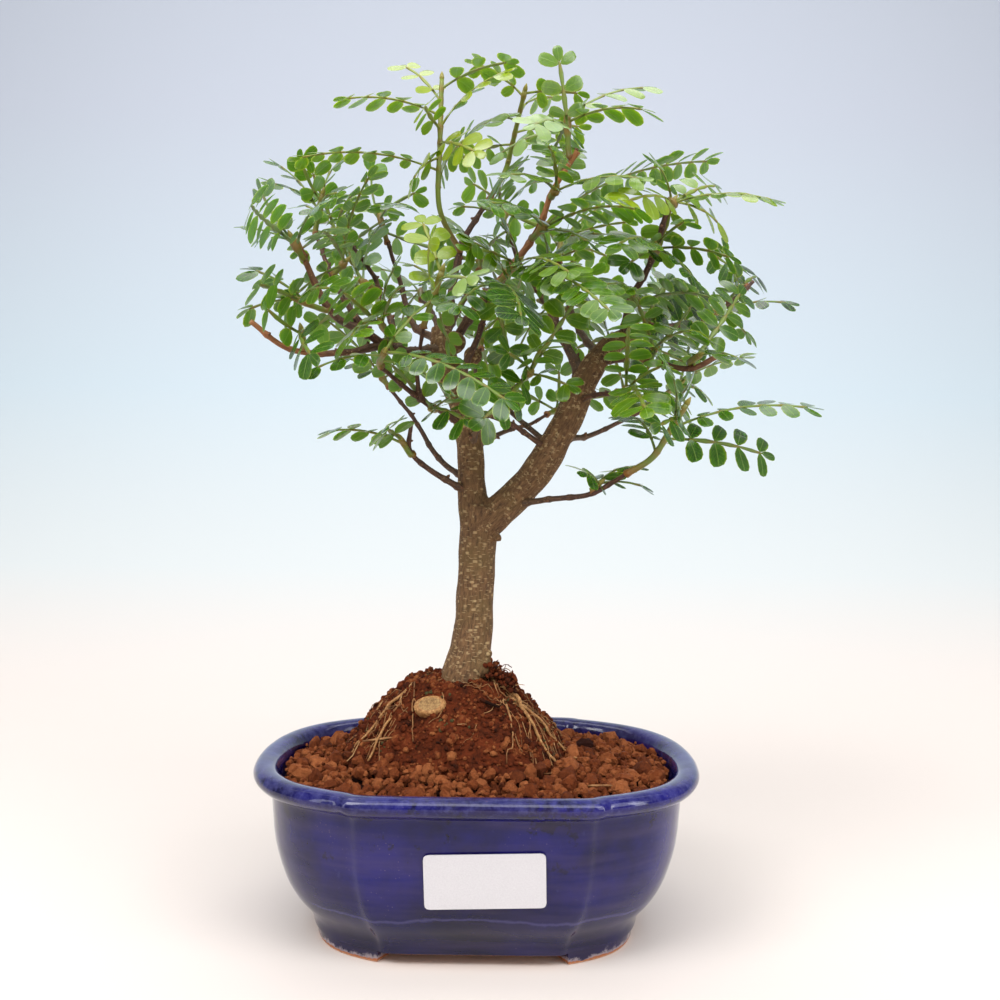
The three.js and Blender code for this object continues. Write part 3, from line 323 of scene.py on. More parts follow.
# Cobalt glaze: deep and glassy, darker towards the bottom, with painted dark reflections in patches on the
# upper body, a milky haze in streaks, partly the glaze's own and partly a painted reflection of the pale
# room, a painted highlight in a wavy pale line round the lower body, pale on the thin lip (partly thin glaze,
# partly a painted highlight), here and there brown on the lip, and worn off the feet
def make_glaze():
    glaze = Pattern("cobalt_glaze", 0.1, Specular_IOR_Level=0.42)
    height = glaze.split(glaze.place)["Z"]
    pooled, chips = glaze.noise(0.03, 5, 0.6), glaze.noise(0.28, 7, 0.72)
    streaks = glaze.noise(1, 4, place=glaze.stretch(glaze.place, (0.022, 0.022, 0.22)))
    body = glaze.ramp(pooled, (0.36, "#050434"), (0.5, "#0c0a50"), (0.66, "#141266"))
    body = glaze.tint(glaze.fade(height, 14, 34, least=0.35), "#06041f", body)
    # Painted dark reflections: near-black patches on the upper body
    dark_reflection_patches = glaze.fade(glaze.noise(0.045, 5, 0.75), 0.565, 0.6, 0.8)
    body = glaze.tint(glaze.reckon("MULTIPLY", dark_reflection_patches, glaze.fade(height, 34, 42)), body, "#04031f")
    # A milky haze in horizontal streaks: partly the glaze's own, partly a painted reflection of the pale
    # room; the glaze is rougher there
    haze_and_reflection = glaze.fade(streaks, 0.4, 0.74, 0.4)
    body = glaze.tint(haze_and_reflection, body, "#43385c")
    # A painted highlight: a pale wavy line round the lower body
    highlight_line_offset = glaze.reckon("SUBTRACT", glaze.reckon("MULTIPLY_ADD", pooled, 9, height), 25)
    body = glaze.tint(glaze.fade(glaze.reckon("ABSOLUTE", highlight_line_offset), 0.9, 0.1, 0.28), body, "#6a66a4")
    # Pale towards the lip, partly where the glaze thins on the crest and partly a painted highlight along it;
    # brown here and there where it is worn
    lip = glaze.reckon("ADD", glaze.fade(height, 61.5, 68.8, 0.3), chips)
    body = glaze.tint(glaze.fade(lip, 0.62, 0.98, 0.5), body, "#5e5f9a")
    body = glaze.tint(glaze.fade(lip, 0.92, 1, 0.5), body, "#6a4238")
    foot = glaze.reckon("ADD", glaze.fade(height, 5, 0.2, 0.52), chips)
    bare = glaze.fade(foot, 0.76, 0.9, 0.7)
    body = glaze.tint(bare, body, "#b3a6ac")
    sole = glaze.reckon("ADD", glaze.fade(height, 2.4, 0.2, 0.6), chips)
    body = glaze.tint(glaze.fade(sole, 0.78, 0.86), body, "#a4623c")
    specks = glaze.fade(glaze.cells(glaze.place, 0.55), 0.16, 0.06, 0.5)
    sprinkled = glaze.reckon("MULTIPLY", specks, glaze.fade(pooled, 0.56, 0.66))
    gloss = glaze.fade(glaze.reckon("MAXIMUM", bare, haze_and_reflection), 0, 1, 0.24, 0.05)
    return glaze.finish(glaze.tint(sprinkled, body, "#7d6a78"), glaze.noise(0.08), 0.3, 0.0006, gloss)


# Fired clay grains and fine soil: dusty orange brown, each bit a tone of its own, pitted
def make_clay(name, dark, middle, light, patch_depth):
    clay = Pattern(name, 0.95, Specular_IOR_Level=0.2)
    tone = clay.split(clay.carried("part_tone"))["X"]
    patches = clay.fade(clay.noise(0.11, 4, 0.6), 0.3, 0.7, patch_depth, -patch_depth)
    mixed = clay.reckon("ADD", tone, clay.noise(0.7, 8, 0.7))
    mixed = clay.reckon("MULTIPLY_ADD", mixed, 0.5, patches)
    colour = clay.ramp(mixed, (0.2, dark), (0.47, middle), (0.74, light))
    return clay.finish(colour, clay.noise(1.3, 6, 0.75), 0.9, 0.0009)


# Old bark: olive grey brown with fine upright furrows and pale, wide, short lenticels
def make_old_bark():
    bark = Pattern("old_bark", 0.85)
    limb = bark.carried("part_place")
    furrows = bark.noise(1.1, 6, 0.65, bark.stretch(limb, (1, 1, 0.34)))
    wood = bark.ramp(furrows, (0.3, "#3c2817"), (0.46, "#64482d"), (0.62, "#83613f"), (0.8, "#9c7b56"))
    wood = bark.tint(bark.fade(bark.noise(0.09, 3), 0.45, 0.7, 0.4), wood, "#66552c")
    pores = bark.cells(bark.stretch(limb, (0.36, 0.36, 1.15)), 1)
    pick = add_node(bark.material, "ShaderNodeSeparateColor", {}, {"Color": pores.outputs["Color"]})
    some = bark.reckon("GREATER_THAN", pick.outputs["Red"], 0.22)
    pore = bark.fade(pores, 0.42, 0.24, 0.65)
    pore = bark.reckon("MULTIPLY", pore, some)
    return bark.finish(bark.tint(pore, wood, "#c2a678"), bark.reckon("ADD", furrows, pore), 0.8, 0.0006)


# Young bark: dark red brown with fine dots, orange towards the ends that were cut
def make_young_bark():
    bark = Pattern("young_bark", 0.6)
    tone = bark.split(bark.carried("part_tone"))
    limb = bark.carried("part_place")
    grain = bark.noise(1.6, 5, 0.65, bark.stretch(limb, (1, 1, 0.25)))
    dark = bark.ramp(grain, (0.3, "#26130b"), (0.52, "#4a2a1a"), (0.75, "#775036"))
    fresh = bark.ramp(grain, (0.3, "#8a5228"), (0.7, "#bd7f48"))
    older = bark.ramp(grain, (0.3, "#4b3a26"), (0.7, "#84704f"))
    skin = bark.tint(tone["X"], bark.tint(tone["Y"], dark, older), fresh)
    dots = bark.fade(bark.cells(limb, 0.55), 0.2, 0.1, 0.5)
    return bark.finish(bark.tint(dots, skin, "#b08e66"), bark.reckon("ADD", grain, dots), 0.6, 0.0004)


# One plain grainy surface in three tones: bare clay, cut wood, roots, straw, moss, paper, plastic
def make_plain(name, roughness, tones, scale, relief_depth, places=(0.3, 0.5, 0.7), grain=0.65, strength=0.6):
    plain = Pattern(name, roughness)
    pattern = plain.noise(scale, 6, grain)
    return plain.finish(plain.ramp(pattern, *zip(places, tones)), pattern, strength, relief_depth)


# Leaflets: glossy green above and matt below, with a pale midrib and side veins;
# the young ones yellow green, a few with a painted grey sheen; light shines a little way through
def make_leaf():
    leaf = Pattern("leaf", 0.3, Specular_IOR_Level=0.36, Subsurface_Weight=0.35,
                   Subsurface_Radius=(0.7, 1, 0.15), Subsurface_Scale=0.0015, Coat_Weight=0.5,
                   Coat_Roughness=0.17)
    along, across, above = leaf.split(leaf.carried("part_place"))
    tone = leaf.split(leaf.carried("part_tone"))
    mottle = leaf.reckon("MULTIPLY_ADD", leaf.noise(0.35, 4), 0.3, -0.15)
    blade = leaf.ramp(leaf.reckon("ADD", tone["X"], mottle),
                      (0, "#143004"), (0.3, "#2e5407"), (0.6, "#5c7c0f"), (1, "#86961a"))
    # A painted grey sheen on some fronds
    blade = leaf.tint(tone["Y"], blade, "#86a381")
    underneath = leaf.fade(above, 0.1, -0.1, 0.55)
    blade = leaf.tint(underneath, blade, "#5b8c1a")
    spread = leaf.reckon("ABSOLUTE", across)
    slanted = leaf.reckon("MULTIPLY", leaf.reckon("MULTIPLY_ADD", spread, -0.35, along), 40)
    veins = leaf.fade(leaf.reckon("SINE", slanted), 0.7, 1, 0.07)
    lines = leaf.reckon("MAXIMUM", leaf.fade(spread, 0.09, 0.03, 0.3), veins)
    blade = leaf.tint(lines, blade, "#8dab4c")
    blade = leaf.tint(leaf.fade(spread, 0.84, 1, 0.5), blade, "#73932e")
    return leaf.finish(blade, lines, 0.5, 0.0003, leaf.fade(underneath, 0, 1, 0.6, 0.26))


# Green stalks and shoots: fresh green, red brown at each node and towards old wood
def make_stalk():
    stalk = Pattern("green_stalk", 0.4)
    tone = stalk.split(stalk.carried("part_tone"))
    skin = stalk.ramp(tone["X"], (0, "#46641f"), (0.5, "#71892f"), (1, "#98a440"))
    grain = stalk.noise(1.2, 4)
    skin = stalk.tint(0.3, skin, grain.outputs["Color"], "MULTIPLY")
    # Red brown at the nodes, and the painted grey sheen that some fronds carry
    skin = stalk.tint(tone["Y"], stalk.tint(tone["Z"], skin, "#8c4a2a"), "#86a381")
    return stalk.finish(skin, grain, 0.4, 0.0002)


def seeded_draw(seed):
    """Numbers from 0 to 1, always the same for a seed."""
    state = seed
    mask = 0xffffffff

    def draw():
        nonlocal state
        state = (state + 0x6d2b79f5) & mask
        mixed = ((state ^ (state >> 15)) * (1 | state)) & mask
        mixed = ((mixed + ((mixed ^ (mixed >> 7)) * (61 | mixed) & mask)) & mask) ^ mixed
        return (mixed ^ (mixed >> 14)) / 4294967296
    return draw


def unit(vector):
    return vector / np.linalg.norm(vector)


def bent_line(points):
    """A smooth line through points, as a function of the share of the way along."""
    points = np.array(points, float)
    fenced = np.vstack([2 * points[0] - points[1], points, 2 * points[-1] - points[-2]])

    def at(share):
        place = np.asarray(share, float) * (len(points) - 1)
        k = np.minimum(np.floor(place).astype(int), len(points) - 2)
        w = (place - k)[..., None]
        p0, p1, p2, p3 = fenced[k], fenced[k + 1], fenced[k + 2], fenced[k + 3]
        t0, t1 = 0.5 * (p2 - p0), 0.5 * (p3 - p1)
        return p1 + t0 * w + (-3 * p1 + 3 * p2 - 2 * t0 - t1) * w ** 2 + (2 * p1 - 2 * p2 + t0 + t1) * w ** 3
    return at


def spaced_points(points, count):
    """Points at even steps along a bent line."""
    at = bent_line(points)
    shares = np.linspace(0, 1, 201)
    run = at(shares)
    travelled = np.concatenate([[0], np.cumsum(np.linalg.norm(np.diff(run, axis=0), axis=1))])
    return at(np.interp(np.linspace(0, 1, count + 1) * travelled[-1], travelled, shares))


def along_stations(stations, share):
    """The place at a share of the way along straight stretches between stations."""
    place = share * (len(stations) - 1)
    k = min(int(place), len(stations) - 2)
    return stations[k] + (stations[k + 1] - stations[k]) * (place - k)


def spread_value(values, share):
    return np.interp(share, np.linspace(0, 1, len(values)), values)


def spot_on(limb, share):
    """A place on a limb: its middle, direction and bark radius."""
    points, radii = limb
    steps = len(points) if len(points) > 5 else len(points) - 1
    stations = spaced_points(points, steps)
    k = min(int(share * steps), steps - 1)
    return along_stations(stations, share), unit(stations[k + 1] - stations[k]), spread_value(radii, share)


def ring_frames(middles, side=None):
    """Directions along, sideways and upwards at each middle of a tube, turning as little as they can."""
    along = np.gradient(middles, axis=0)
    along /= np.linalg.norm(along, axis=1)[:, None]
    if side is None:
        side = np.cross(along[0], (0.3, 0.9, 0.2))
    sides = []
    for direction in along:
        side = unit(side - direction * np.dot(side, direction))
        sides.append(side)
    sides = np.array(sides)
    return along, sides, np.cross(along, sides)


KEPT_TUBES = {}


def straight_tube(rings, corners):
    """A capped tube along x with a ring at each whole number, ready to be bent. Its far cap is slot 1."""
    if (rings, corners) in KEPT_TUBES:
        return KEPT_TUBES[rings, corners]
    form = bmesh.new()
    bmesh.ops.create_circle(form, segments=corners, radius=1, matrix=Matrix.Rotation(math.pi / 2, 4, "Y"))
    edge = form.edges[:]
    bmesh.ops.contextual_create(form, geom=edge)
    for _ in range(rings - 1):
        ring, edge = grow_ring(form, edge)
        bmesh.ops.translate(form, vec=(1, 0, 0), verts=ring)
    far = bmesh.ops.contextual_create(form, geom=edge)["faces"]
    if corners > 6:
        bmesh.ops.inset_individual(form, faces=far, thickness=0.2)
    for face in far:
        face.material_index = 1
    bmesh.ops.recalc_face_normals(form, faces=form.faces)
    KEPT_TUBES[rings, corners] = keep_form(form, "tube")
    return KEPT_TUBES[rings, corners]


def mesh_of(form, name):
    """A form made into a mesh."""
    mesh = bpy.data.meshes.new(name)
    form.to_mesh(mesh)
    form.free()
    return mesh


def sort_faces(form):
    """Puts a form's faces in the same order each run, by their first and last vertices."""
    form.verts.index_update()
    numbers = {face: [vert.index for vert in face.verts] for face in form.faces}
    form.faces.sort(key=lambda face: min(numbers[face]) * 1e6 + max(numbers[face]))


def keep_form(form, name):
    """A small form kept as a mesh with its vertices' places, for copying many times."""
    sort_faces(form)
    mesh = mesh_of(form, name)
    places = np.empty(len(mesh.vertices) * 3)
    mesh.vertices.foreach_get("co", places)
    return mesh, places.reshape(-1, 3)


def grow_ring(form, edges):
    """Extrudes a line of edges, and gives the new line's vertices and edges."""
    grown = bmesh.ops.extrude_edge_only(form, edges=edges)["geom"]
    ring = [item for item in grown if isinstance(item, bmesh.types.BMVert)]
    new = set(ring)
    return ring, [item for item in grown if isinstance(item, bmesh.types.BMEdge) and set(item.verts) <= new]


def edges_of(ring):
    """The edges round a ring of vertices, in the same order each run."""
    return list(dict.fromkeys(edge for vert in ring for edge in vert.link_edges))


def carry(mesh, attribute, values):
    """Gives each vertex three values of its own, which the materials read."""
    flat = np.asarray(values, np.float32).ravel()
    mesh.attributes.new(attribute, "FLOAT_VECTOR", "POINT").data.foreach_set("vector", flat)


def shade(mesh, smooth):
    mesh.polygons.foreach_set("use_smooth", np.full(len(mesh.polygons), smooth))


def shown(mesh, name):
    """An object of its own for a mesh, at the origin."""
    item = bpy.data.objects.new(name, mesh)
    bpy.context.scene.collection.objects.link(item)
    return item


def worked(mesh, *steps):
    """A mesh after modifiers, each a kind and its settings."""
    blank = shown(mesh, "blank")
    for kind, settings in steps:
        modifier = blank.modifiers.new(kind.lower(), kind)
        for key, value in settings.items():
            setattr(modifier, key, value)
    done = bpy.data.meshes.new_from_object(blank.evaluated_get(bpy.context.evaluated_depsgraph_get()))
    bpy.data.objects.remove(blank)
    return done


def jog(draw):
    """A small random step, up to a half each way."""
    return np.array([draw() - 0.5, draw() - 0.5, draw() - 0.5])


def hump(run, middle, width):
    """1 at a middle, and soon 0 on either side of it."""
    return np.exp(-((run - middle) / width) ** 2)


def line_length(middles):
    return np.linalg.norm(np.diff(middles, axis=0), axis=1).sum()


def tube_copy(middles, radii, corners, surface, tone=(0, 0, 0), side=None, flat=1):
    """A bent tube: a straight one laid along its middles. Tone is one value or one for each ring."""
    mesh, places = straight_tube(len(middles), corners)
    ring = np.rint(places[:, 0]).astype(int)
    _, sides, ups = ring_frames(middles, side)
    radii = np.broadcast_to(radii, len(middles))
    across, rise = places[:, 1, None], places[:, 2, None] * flat
    bent = middles[ring] + radii[ring, None] * (across * sides[ring] + rise * ups[ring])
    travelled = np.concatenate([[0], np.cumsum(np.linalg.norm(np.diff(middles, axis=0), axis=1))])
    spots = np.column_stack([radii[ring] * places[:, 1], radii[ring] * places[:, 2], travelled[ring]])
    tones = np.broadcast_to(tone, (len(middles), 3))[ring]
    return mesh, bent, surface, spots, tones


def lump_copy(kept, middle, size, draw, surface, tone):
    """A lump of any turn and a size in each direction."""
    mesh, places = kept
    turn = np.array(Matrix.Rotation(draw() * 6.283, 3, Vector(jog(draw))))
    bent = (places * np.array(size)) @ turn.T + middle
    return mesh, bent, surface, places, np.broadcast_to(tone, places.shape)


def gather(name, copies, surfaces, replaced=()):
    """One piece out of many copies of small forms."""
    form = bmesh.new()
    for copy in copies:
        form.from_mesh(copy[0])
    mesh = mesh_of(form, name)
    slots = []
    for small, _, surface, _, _ in copies:
        own = np.empty(len(small.polygons), int)
        small.polygons.foreach_get("material_index", own)
        slots.append(own + surface)
    mesh.polygons.foreach_set("material_index", np.concatenate(slots))
    carry(mesh, "part_place", np.concatenate([copy[3] for copy in copies]))
    carry(mesh, "part_tone", np.concatenate([copy[4] for copy in copies]))
    places = np.concatenate([copy[1] for copy in copies]) * 0.001 + np.array(POT_MIDDLE)
    mesh.vertices.foreach_set("co", places.astype(np.float32).ravel())
    return finish_piece(name, mesh, surfaces, replaced)


def finish_piece(name, mesh, surfaces, replaced=()):
    """Shows a finished mesh, already in the frame, as one piece of the object."""
    mesh.name = name
    shade(mesh, True)
    for surface in surfaces:
        mesh.materials.append(surface)
    mesh.update()
    piece = shown(mesh, name)
    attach(piece, "root")
    if replaced:
        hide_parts(*replaced)
    return piece


def rim_outline():
    """The rim's outline at its full size, smooth, from the middle of the front round by the right."""
    corners = []
    for turn in range(4):
        for step, (x, y) in enumerate(RIM_QUARTER):
            if turn % 2:
                x, y = (RIM_HALF_WIDTH, 0) if step == 0 else RIM_QUARTER[-step]
            corners.append([(x, -y), (x, y), (-x, y), (-x, -y)][turn])
    corners = np.array(corners, float)
    count = len(corners)
    smooth = []
    for k in range(count):
        line = bent_line(corners[[(k - 1) % count, k, (k + 1) % count, (k + 2) % count]])
        smooth.extend(line(np.linspace(1 / 3, 2 / 3, RIM_STEPS, endpoint=False)))
    return np.array(smooth)


RIM = rim_outline()


def loft(form, profile):
    """Grows a shell of rings on the rim's outline, each of a half-width, half-depth and height."""
    ring = bmesh.ops.create_circle(form, segments=len(RIM), radius=1)["verts"]
    for vert, (x, y) in zip(ring, RIM):
        vert.co = (x / RIM_HALF_WIDTH, y / RIM_HALF_DEPTH, 0)
    first = edge = edges_of(ring)
    half_width, half_depth, height = profile[0]
    bmesh.ops.scale(form, vec=(half_width, half_depth, 1), verts=ring)
    bmesh.ops.translate(form, vec=(0, 0, height), verts=ring)
    for width, depth, level in profile[1:]:
        ring, edge = grow_ring(form, edge)
        bmesh.ops.scale(form, vec=(width / half_width, depth / half_depth, 1), verts=ring)
        bmesh.ops.translate(form, vec=(0, 0, level - height), verts=ring)
        half_width, half_depth, height = width, depth, level
    return first, edge


def make_pot(glaze, terracotta):
    """Pot: one fired piece with a rolled lip, four bracket feet and two drainage holes."""
    form = bmesh.new()
    body = bent_line(POT_BODY)(np.linspace(0, 1, BODY_STEPS * (len(POT_BODY) - 1) + 1))
    for edge in loft(form, [*POT_UNDERSIDE, *body, *POT_FLOOR]):
        bmesh.ops.contextual_create(form, geom=edge)
    bmesh.ops.recalc_face_normals(form, faces=form.faces)
    sort_faces(form)
    drill = bmesh.new()
    for side in (-1, 1):
        bmesh.ops.create_cone(drill, cap_ends=True, segments=48, radius1=DRAIN_RADIUS, radius2=DRAIN_RADIUS,
                              depth=14, matrix=Matrix.Translation((side * DRAIN_SPACING, 0, 9)))
    drills = shown(mesh_of(drill, "drill"), "drill")
    pot = bmesh.new()
    pot.from_mesh(worked(mesh_of(form, "pot_blank"), ("BOOLEAN", {
        "operation": "DIFFERENCE", "object": drills, "solver": "EXACT"})))
    bpy.data.objects.remove(drills)
    for first_point, last_point in FEET:
        outside = RIM[first_point * RIM_STEPS:last_point * RIM_STEPS + 1] / (RIM_HALF_WIDTH, RIM_HALF_DEPTH)
        plan = [*(outside * (FOOT_HALF_WIDTH, FOOT_HALF_DEPTH)),
                *(outside * (FOOT_HALF_WIDTH - FOOT_WALL, FOOT_HALF_DEPTH - FOOT_WALL))[::-1]]
        sole = bmesh.ops.contextual_create(pot, geom=[pot.verts.new((x, y, 0)) for x, y in plan])["faces"]
        middle = sole[0].calc_center_median()
        grown = bmesh.ops.extrude_face_region(pot, geom=sole, use_keep_orig=True)["geom"]
        top = [item for item in grown if isinstance(item, bmesh.types.BMVert)]
        bmesh.ops.translate(pot, vec=(0, 0, FOOT_HEIGHT + 2), verts=top)
        bmesh.ops.scale(pot, vec=(0.95, 0.95, 1), space=Matrix.Translation(-middle), verts=sole[0].verts[:])
        bmesh.ops.bevel(pot, geom=sole[0].edges[:], offset=0.7, offset_type="OFFSET", segments=2,
                        profile=0.5, affect="EDGES", material=-1)
    bmesh.ops.recalc_face_normals(pot, faces=pot.faces)
    pot.normal_update()
    # Left bare of glaze: the underside, the feet's soles and the walls of the holes
    for face in pot.faces:
        middle = face.calc_center_median()
        under = face.normal.z < -0.5 and middle.z < 8 or middle.z < 0.6
        beside = max(abs(abs(middle.x) - DRAIN_SPACING), abs(middle.y))
        drilled = middle.z < 12.2 and beside < DRAIN_RADIUS + 0.5
        face.material_index = 1 if under or drilled else 0
    for edge in pot.edges:
        if len(edge.link_faces) == 2 and edge.calc_face_angle(0) > 0.7:
            edge.smooth = False
    bmesh.ops.transform(pot, matrix=TO_FRAME, verts=pot.verts)
    sort_faces(pot)
    finish_piece("glazed_pot", mesh_of(pot, "pot"), [glaze, terracotta], ["pot"])


def ball_swell(angle):
    """The root ball's wavy outline."""
    return 1 + 0.05 * np.sin(3 * angle + 0.6) + 0.03 * np.sin(5 * angle)


def ball_reach(x, y):
    """How far out on the root ball a place is: 0 in its middle and 1 at its foot."""
    out_x = (x - BALL_CENTRE[0]) / BALL_HALF_WIDTH
    out_y = (y - BALL_CENTRE[1]) / BALL_HALF_DEPTH
    return np.hypot(out_x, out_y) / ball_swell(np.arctan2(out_x, -out_y))


RIM_SHARES = RIM / (RIM_HALF_WIDTH, RIM_HALF_DEPTH)
RIM_ANGLES = np.arctan2(RIM_SHARES[:, 0], -RIM_SHARES[:, 1])
RIM_REACHES = np.hypot(*RIM_SHARES.T)


def wall_reach(x, y, inset=0):
    """How far out in the pot a place is: 1 at the wall inside, or that far in from it."""
    out_x, out_y = x / (SOIL_HALF_WIDTH - inset), y / (SOIL_HALF_DEPTH - inset)
    wall = np.interp(np.arctan2(out_x, -out_y), RIM_ANGLES, RIM_REACHES, period=2 * np.pi)
    return np.hypot(out_x, out_y) / wall


def ground_level(x, y):
    """The height of the soil or the root ball's flank."""
    reach = ball_reach(x, y)
    flank = np.interp(reach, [r for r, _ in BALL_FLANK[::-1]], [c for _, c in BALL_FLANK[::-1]])
    wall, foot = np.maximum(1 - wall_reach(x, y), 0), np.maximum(reach - 1, 0)
    share = wall / np.maximum(wall + foot, 1e-6)
    bed = SOIL_EDGE_LEVEL + (SOIL_CREST_LEVEL - SOIL_EDGE_LEVEL) * share
    return np.where(reach < 1, SOIL_CREST_LEVEL + flank * (BALL_TOP - SOIL_CREST_LEVEL), bed)


def make_lumps(count, seed, wander):
    """A few rough lumps of 48 faces for grains, and a crumb of 20."""
    draw = seeded_draw(seed)
    lumps = []
    for _ in range(count):
        form = bmesh.new()
        bmesh.ops.create_uvsphere(form, u_segments=8, v_segments=6, radius=1)
        shift = Vector((draw(), draw(), draw())) * 50
        for vert in form.verts:
            coarse, fine = noise.noise(vert.co * 1.1 + shift), noise.noise(vert.co * 2.7 + shift)
            vert.co *= 1 + wander * coarse + wander * 0.6 * fine
        for _ in range(5):
            side = Vector(jog(draw)).normalized()
            depth = 0.55 + 0.25 * draw()
            for vert in form.verts:
                over = vert.co.dot(side) - depth
                if over > 0:
                    vert.co -= side * over * 0.85
        lumps.append(keep_form(form, "lump"))
    form = bmesh.new()
    bmesh.ops.create_icosphere(form, subdivisions=1, radius=1)
    crumb = keep_form(form, "crumb")
    return lumps, crumb


# Grains of the soil: count, smallest and largest size, how high they may lie in the bed
GRAIN_SIZES = [(430, 4.9, 8.3, 1.9), (520, 3, 4.8, 3), (900, 1.4, 2.8, 4.2)]
BED_DEPTH, BIG_GRAIN, GRAIN_TRIES = 3.4, 4.8, 14
CRUMBS, TUFT_CRUMBS, TUFT_HAIRS = 4200, 260, 44
# Fine roots on the root ball: count, middle angle and spread, how far out they start, longest
ROOT_HAIRS = [(44, 0, 6.28, 0.2, 0.9, 14), (56, 1.15, 0.9, 0.25, 0.95, 24), (20, -0.95, 0.5, 0.5, 0.8, 14)]
# The tuft of fine roots at the trunk's foot, and one dark chip on the grains
HAIRY_FOOT, DARK_CHIP = (9, -4, 102), (45, 12, 69)
# Bits that lie on the mound and the grains: points along each, radius, surface (0 soil, 1 fibre)
STRAWS = [([(0, -16, 94.5), (4, -17.5, 93), (9, -19, 91.5)], 0.7, 0),
          ([(-46, -14, 76), (-40, -17, 77.5), (-33, -19, 79)], 0.5, 1),
          ([(42, -46, 68.6), (46, -47, 69), (51, -46, 68.8)], 0.45, 1)]


def make_soil(lumps, crumb, clay):
    """Soil: a bed of fired clay grains, big ones packed to the lip and small ones between them."""
    form = bmesh.new()
    width, depth = SOIL_HALF_WIDTH - 0.4, SOIL_HALF_DEPTH - 0.4
    ends = loft(form, [(SOIL_HALF_WIDTH - 8, SOIL_HALF_DEPTH - 8, 40), (width, depth, 59),
                       *[(width * share, depth * share, 62) for share in (1, 0.9, 0.8, 0.7, 0.6, 0.5)]])
    for vert in form.verts:
        if vert.co.z > 61:
            vert.co.z = min(float(ground_level(vert.co.x, vert.co.y)), 70) - BED_DEPTH
    for edge in ends:
        bmesh.ops.contextual_create(form, geom=edge)
    bmesh.ops.recalc_face_normals(form, faces=form.faces)
    bed, places = keep_form(form, "soil_bed")
    # The bed under the grains takes the darkest tone, as painted shade in the gaps between them
    copies = [(bed, places, 0, places, np.broadcast_to((-0.5, 0, 0), places.shape))]
    draw = seeded_draw(SOIL_SEED)
    laid = []
    for count, smallest, largest, rise in GRAIN_SIZES:
        for _ in range(count):
            for _ in range(GRAIN_TRIES):
                size = smallest + (largest - smallest) * draw() ** 1.5
                x, y = (2 * draw() - 1) * SOIL_HALF_WIDTH, (2 * draw() - 1) * SOIL_HALF_DEPTH
                if wall_reach(x, y, size * 0.5) > 1 or ball_reach(x, y) < 0.96:
                    continue
                near = [other for other in laid if abs(other[0] - x) < 8 and abs(other[1] - y) < 8]
                gaps = [math.hypot(other[0] - x, other[1] - y) - 0.38 * (other[2] + size) for other in near]
                if min(gaps, default=1) > (0 if size > 3 else -1.2):
                    break
            else:
                continue
            laid.append((x, y, size))
            bed_level = float(ground_level(x, y)) - BED_DEPTH
            level = bed_level + size * 0.25 + rise * (0.6 + 0.6 * draw())
            if size > BIG_GRAIN:
                level = bed_level + size * 0.42 + 1.6 * draw()
            sizes = [0.5 * size * (0.8 + 0.4 * draw()) for _ in range(3)]
            kept = lumps[int(draw() * len(lumps))] if size > 2.2 else crumb
            copies.append(lump_copy(kept, (x, y, level), sizes, draw, 0, (0.2 + 0.6 * draw(), 0, 0)))
    copies.append(lump_copy(lumps[0], DARK_CHIP, (5, 3, 2.4), draw, 0, (-0.7, 0, 0)))
    grains = gather("clay_grains", copies, [clay], ["soil"])
    shade(grains.data, False)


def coarse_rise(spot):
    """How far the mound's coarse roughness lifts a spot on it."""
    return 2.2 * noise.noise(spot * 0.11) + 1.3 * noise.noise(spot * 0.33)


def flank_spot(reach, angle):
    """A place on the root ball: how far out it is, and its angle round from the front."""
    return (BALL_CENTRE[0] + BALL_HALF_WIDTH * reach * math.sin(angle),
            BALL_CENTRE[1] - BALL_HALF_DEPTH * reach * math.cos(angle))


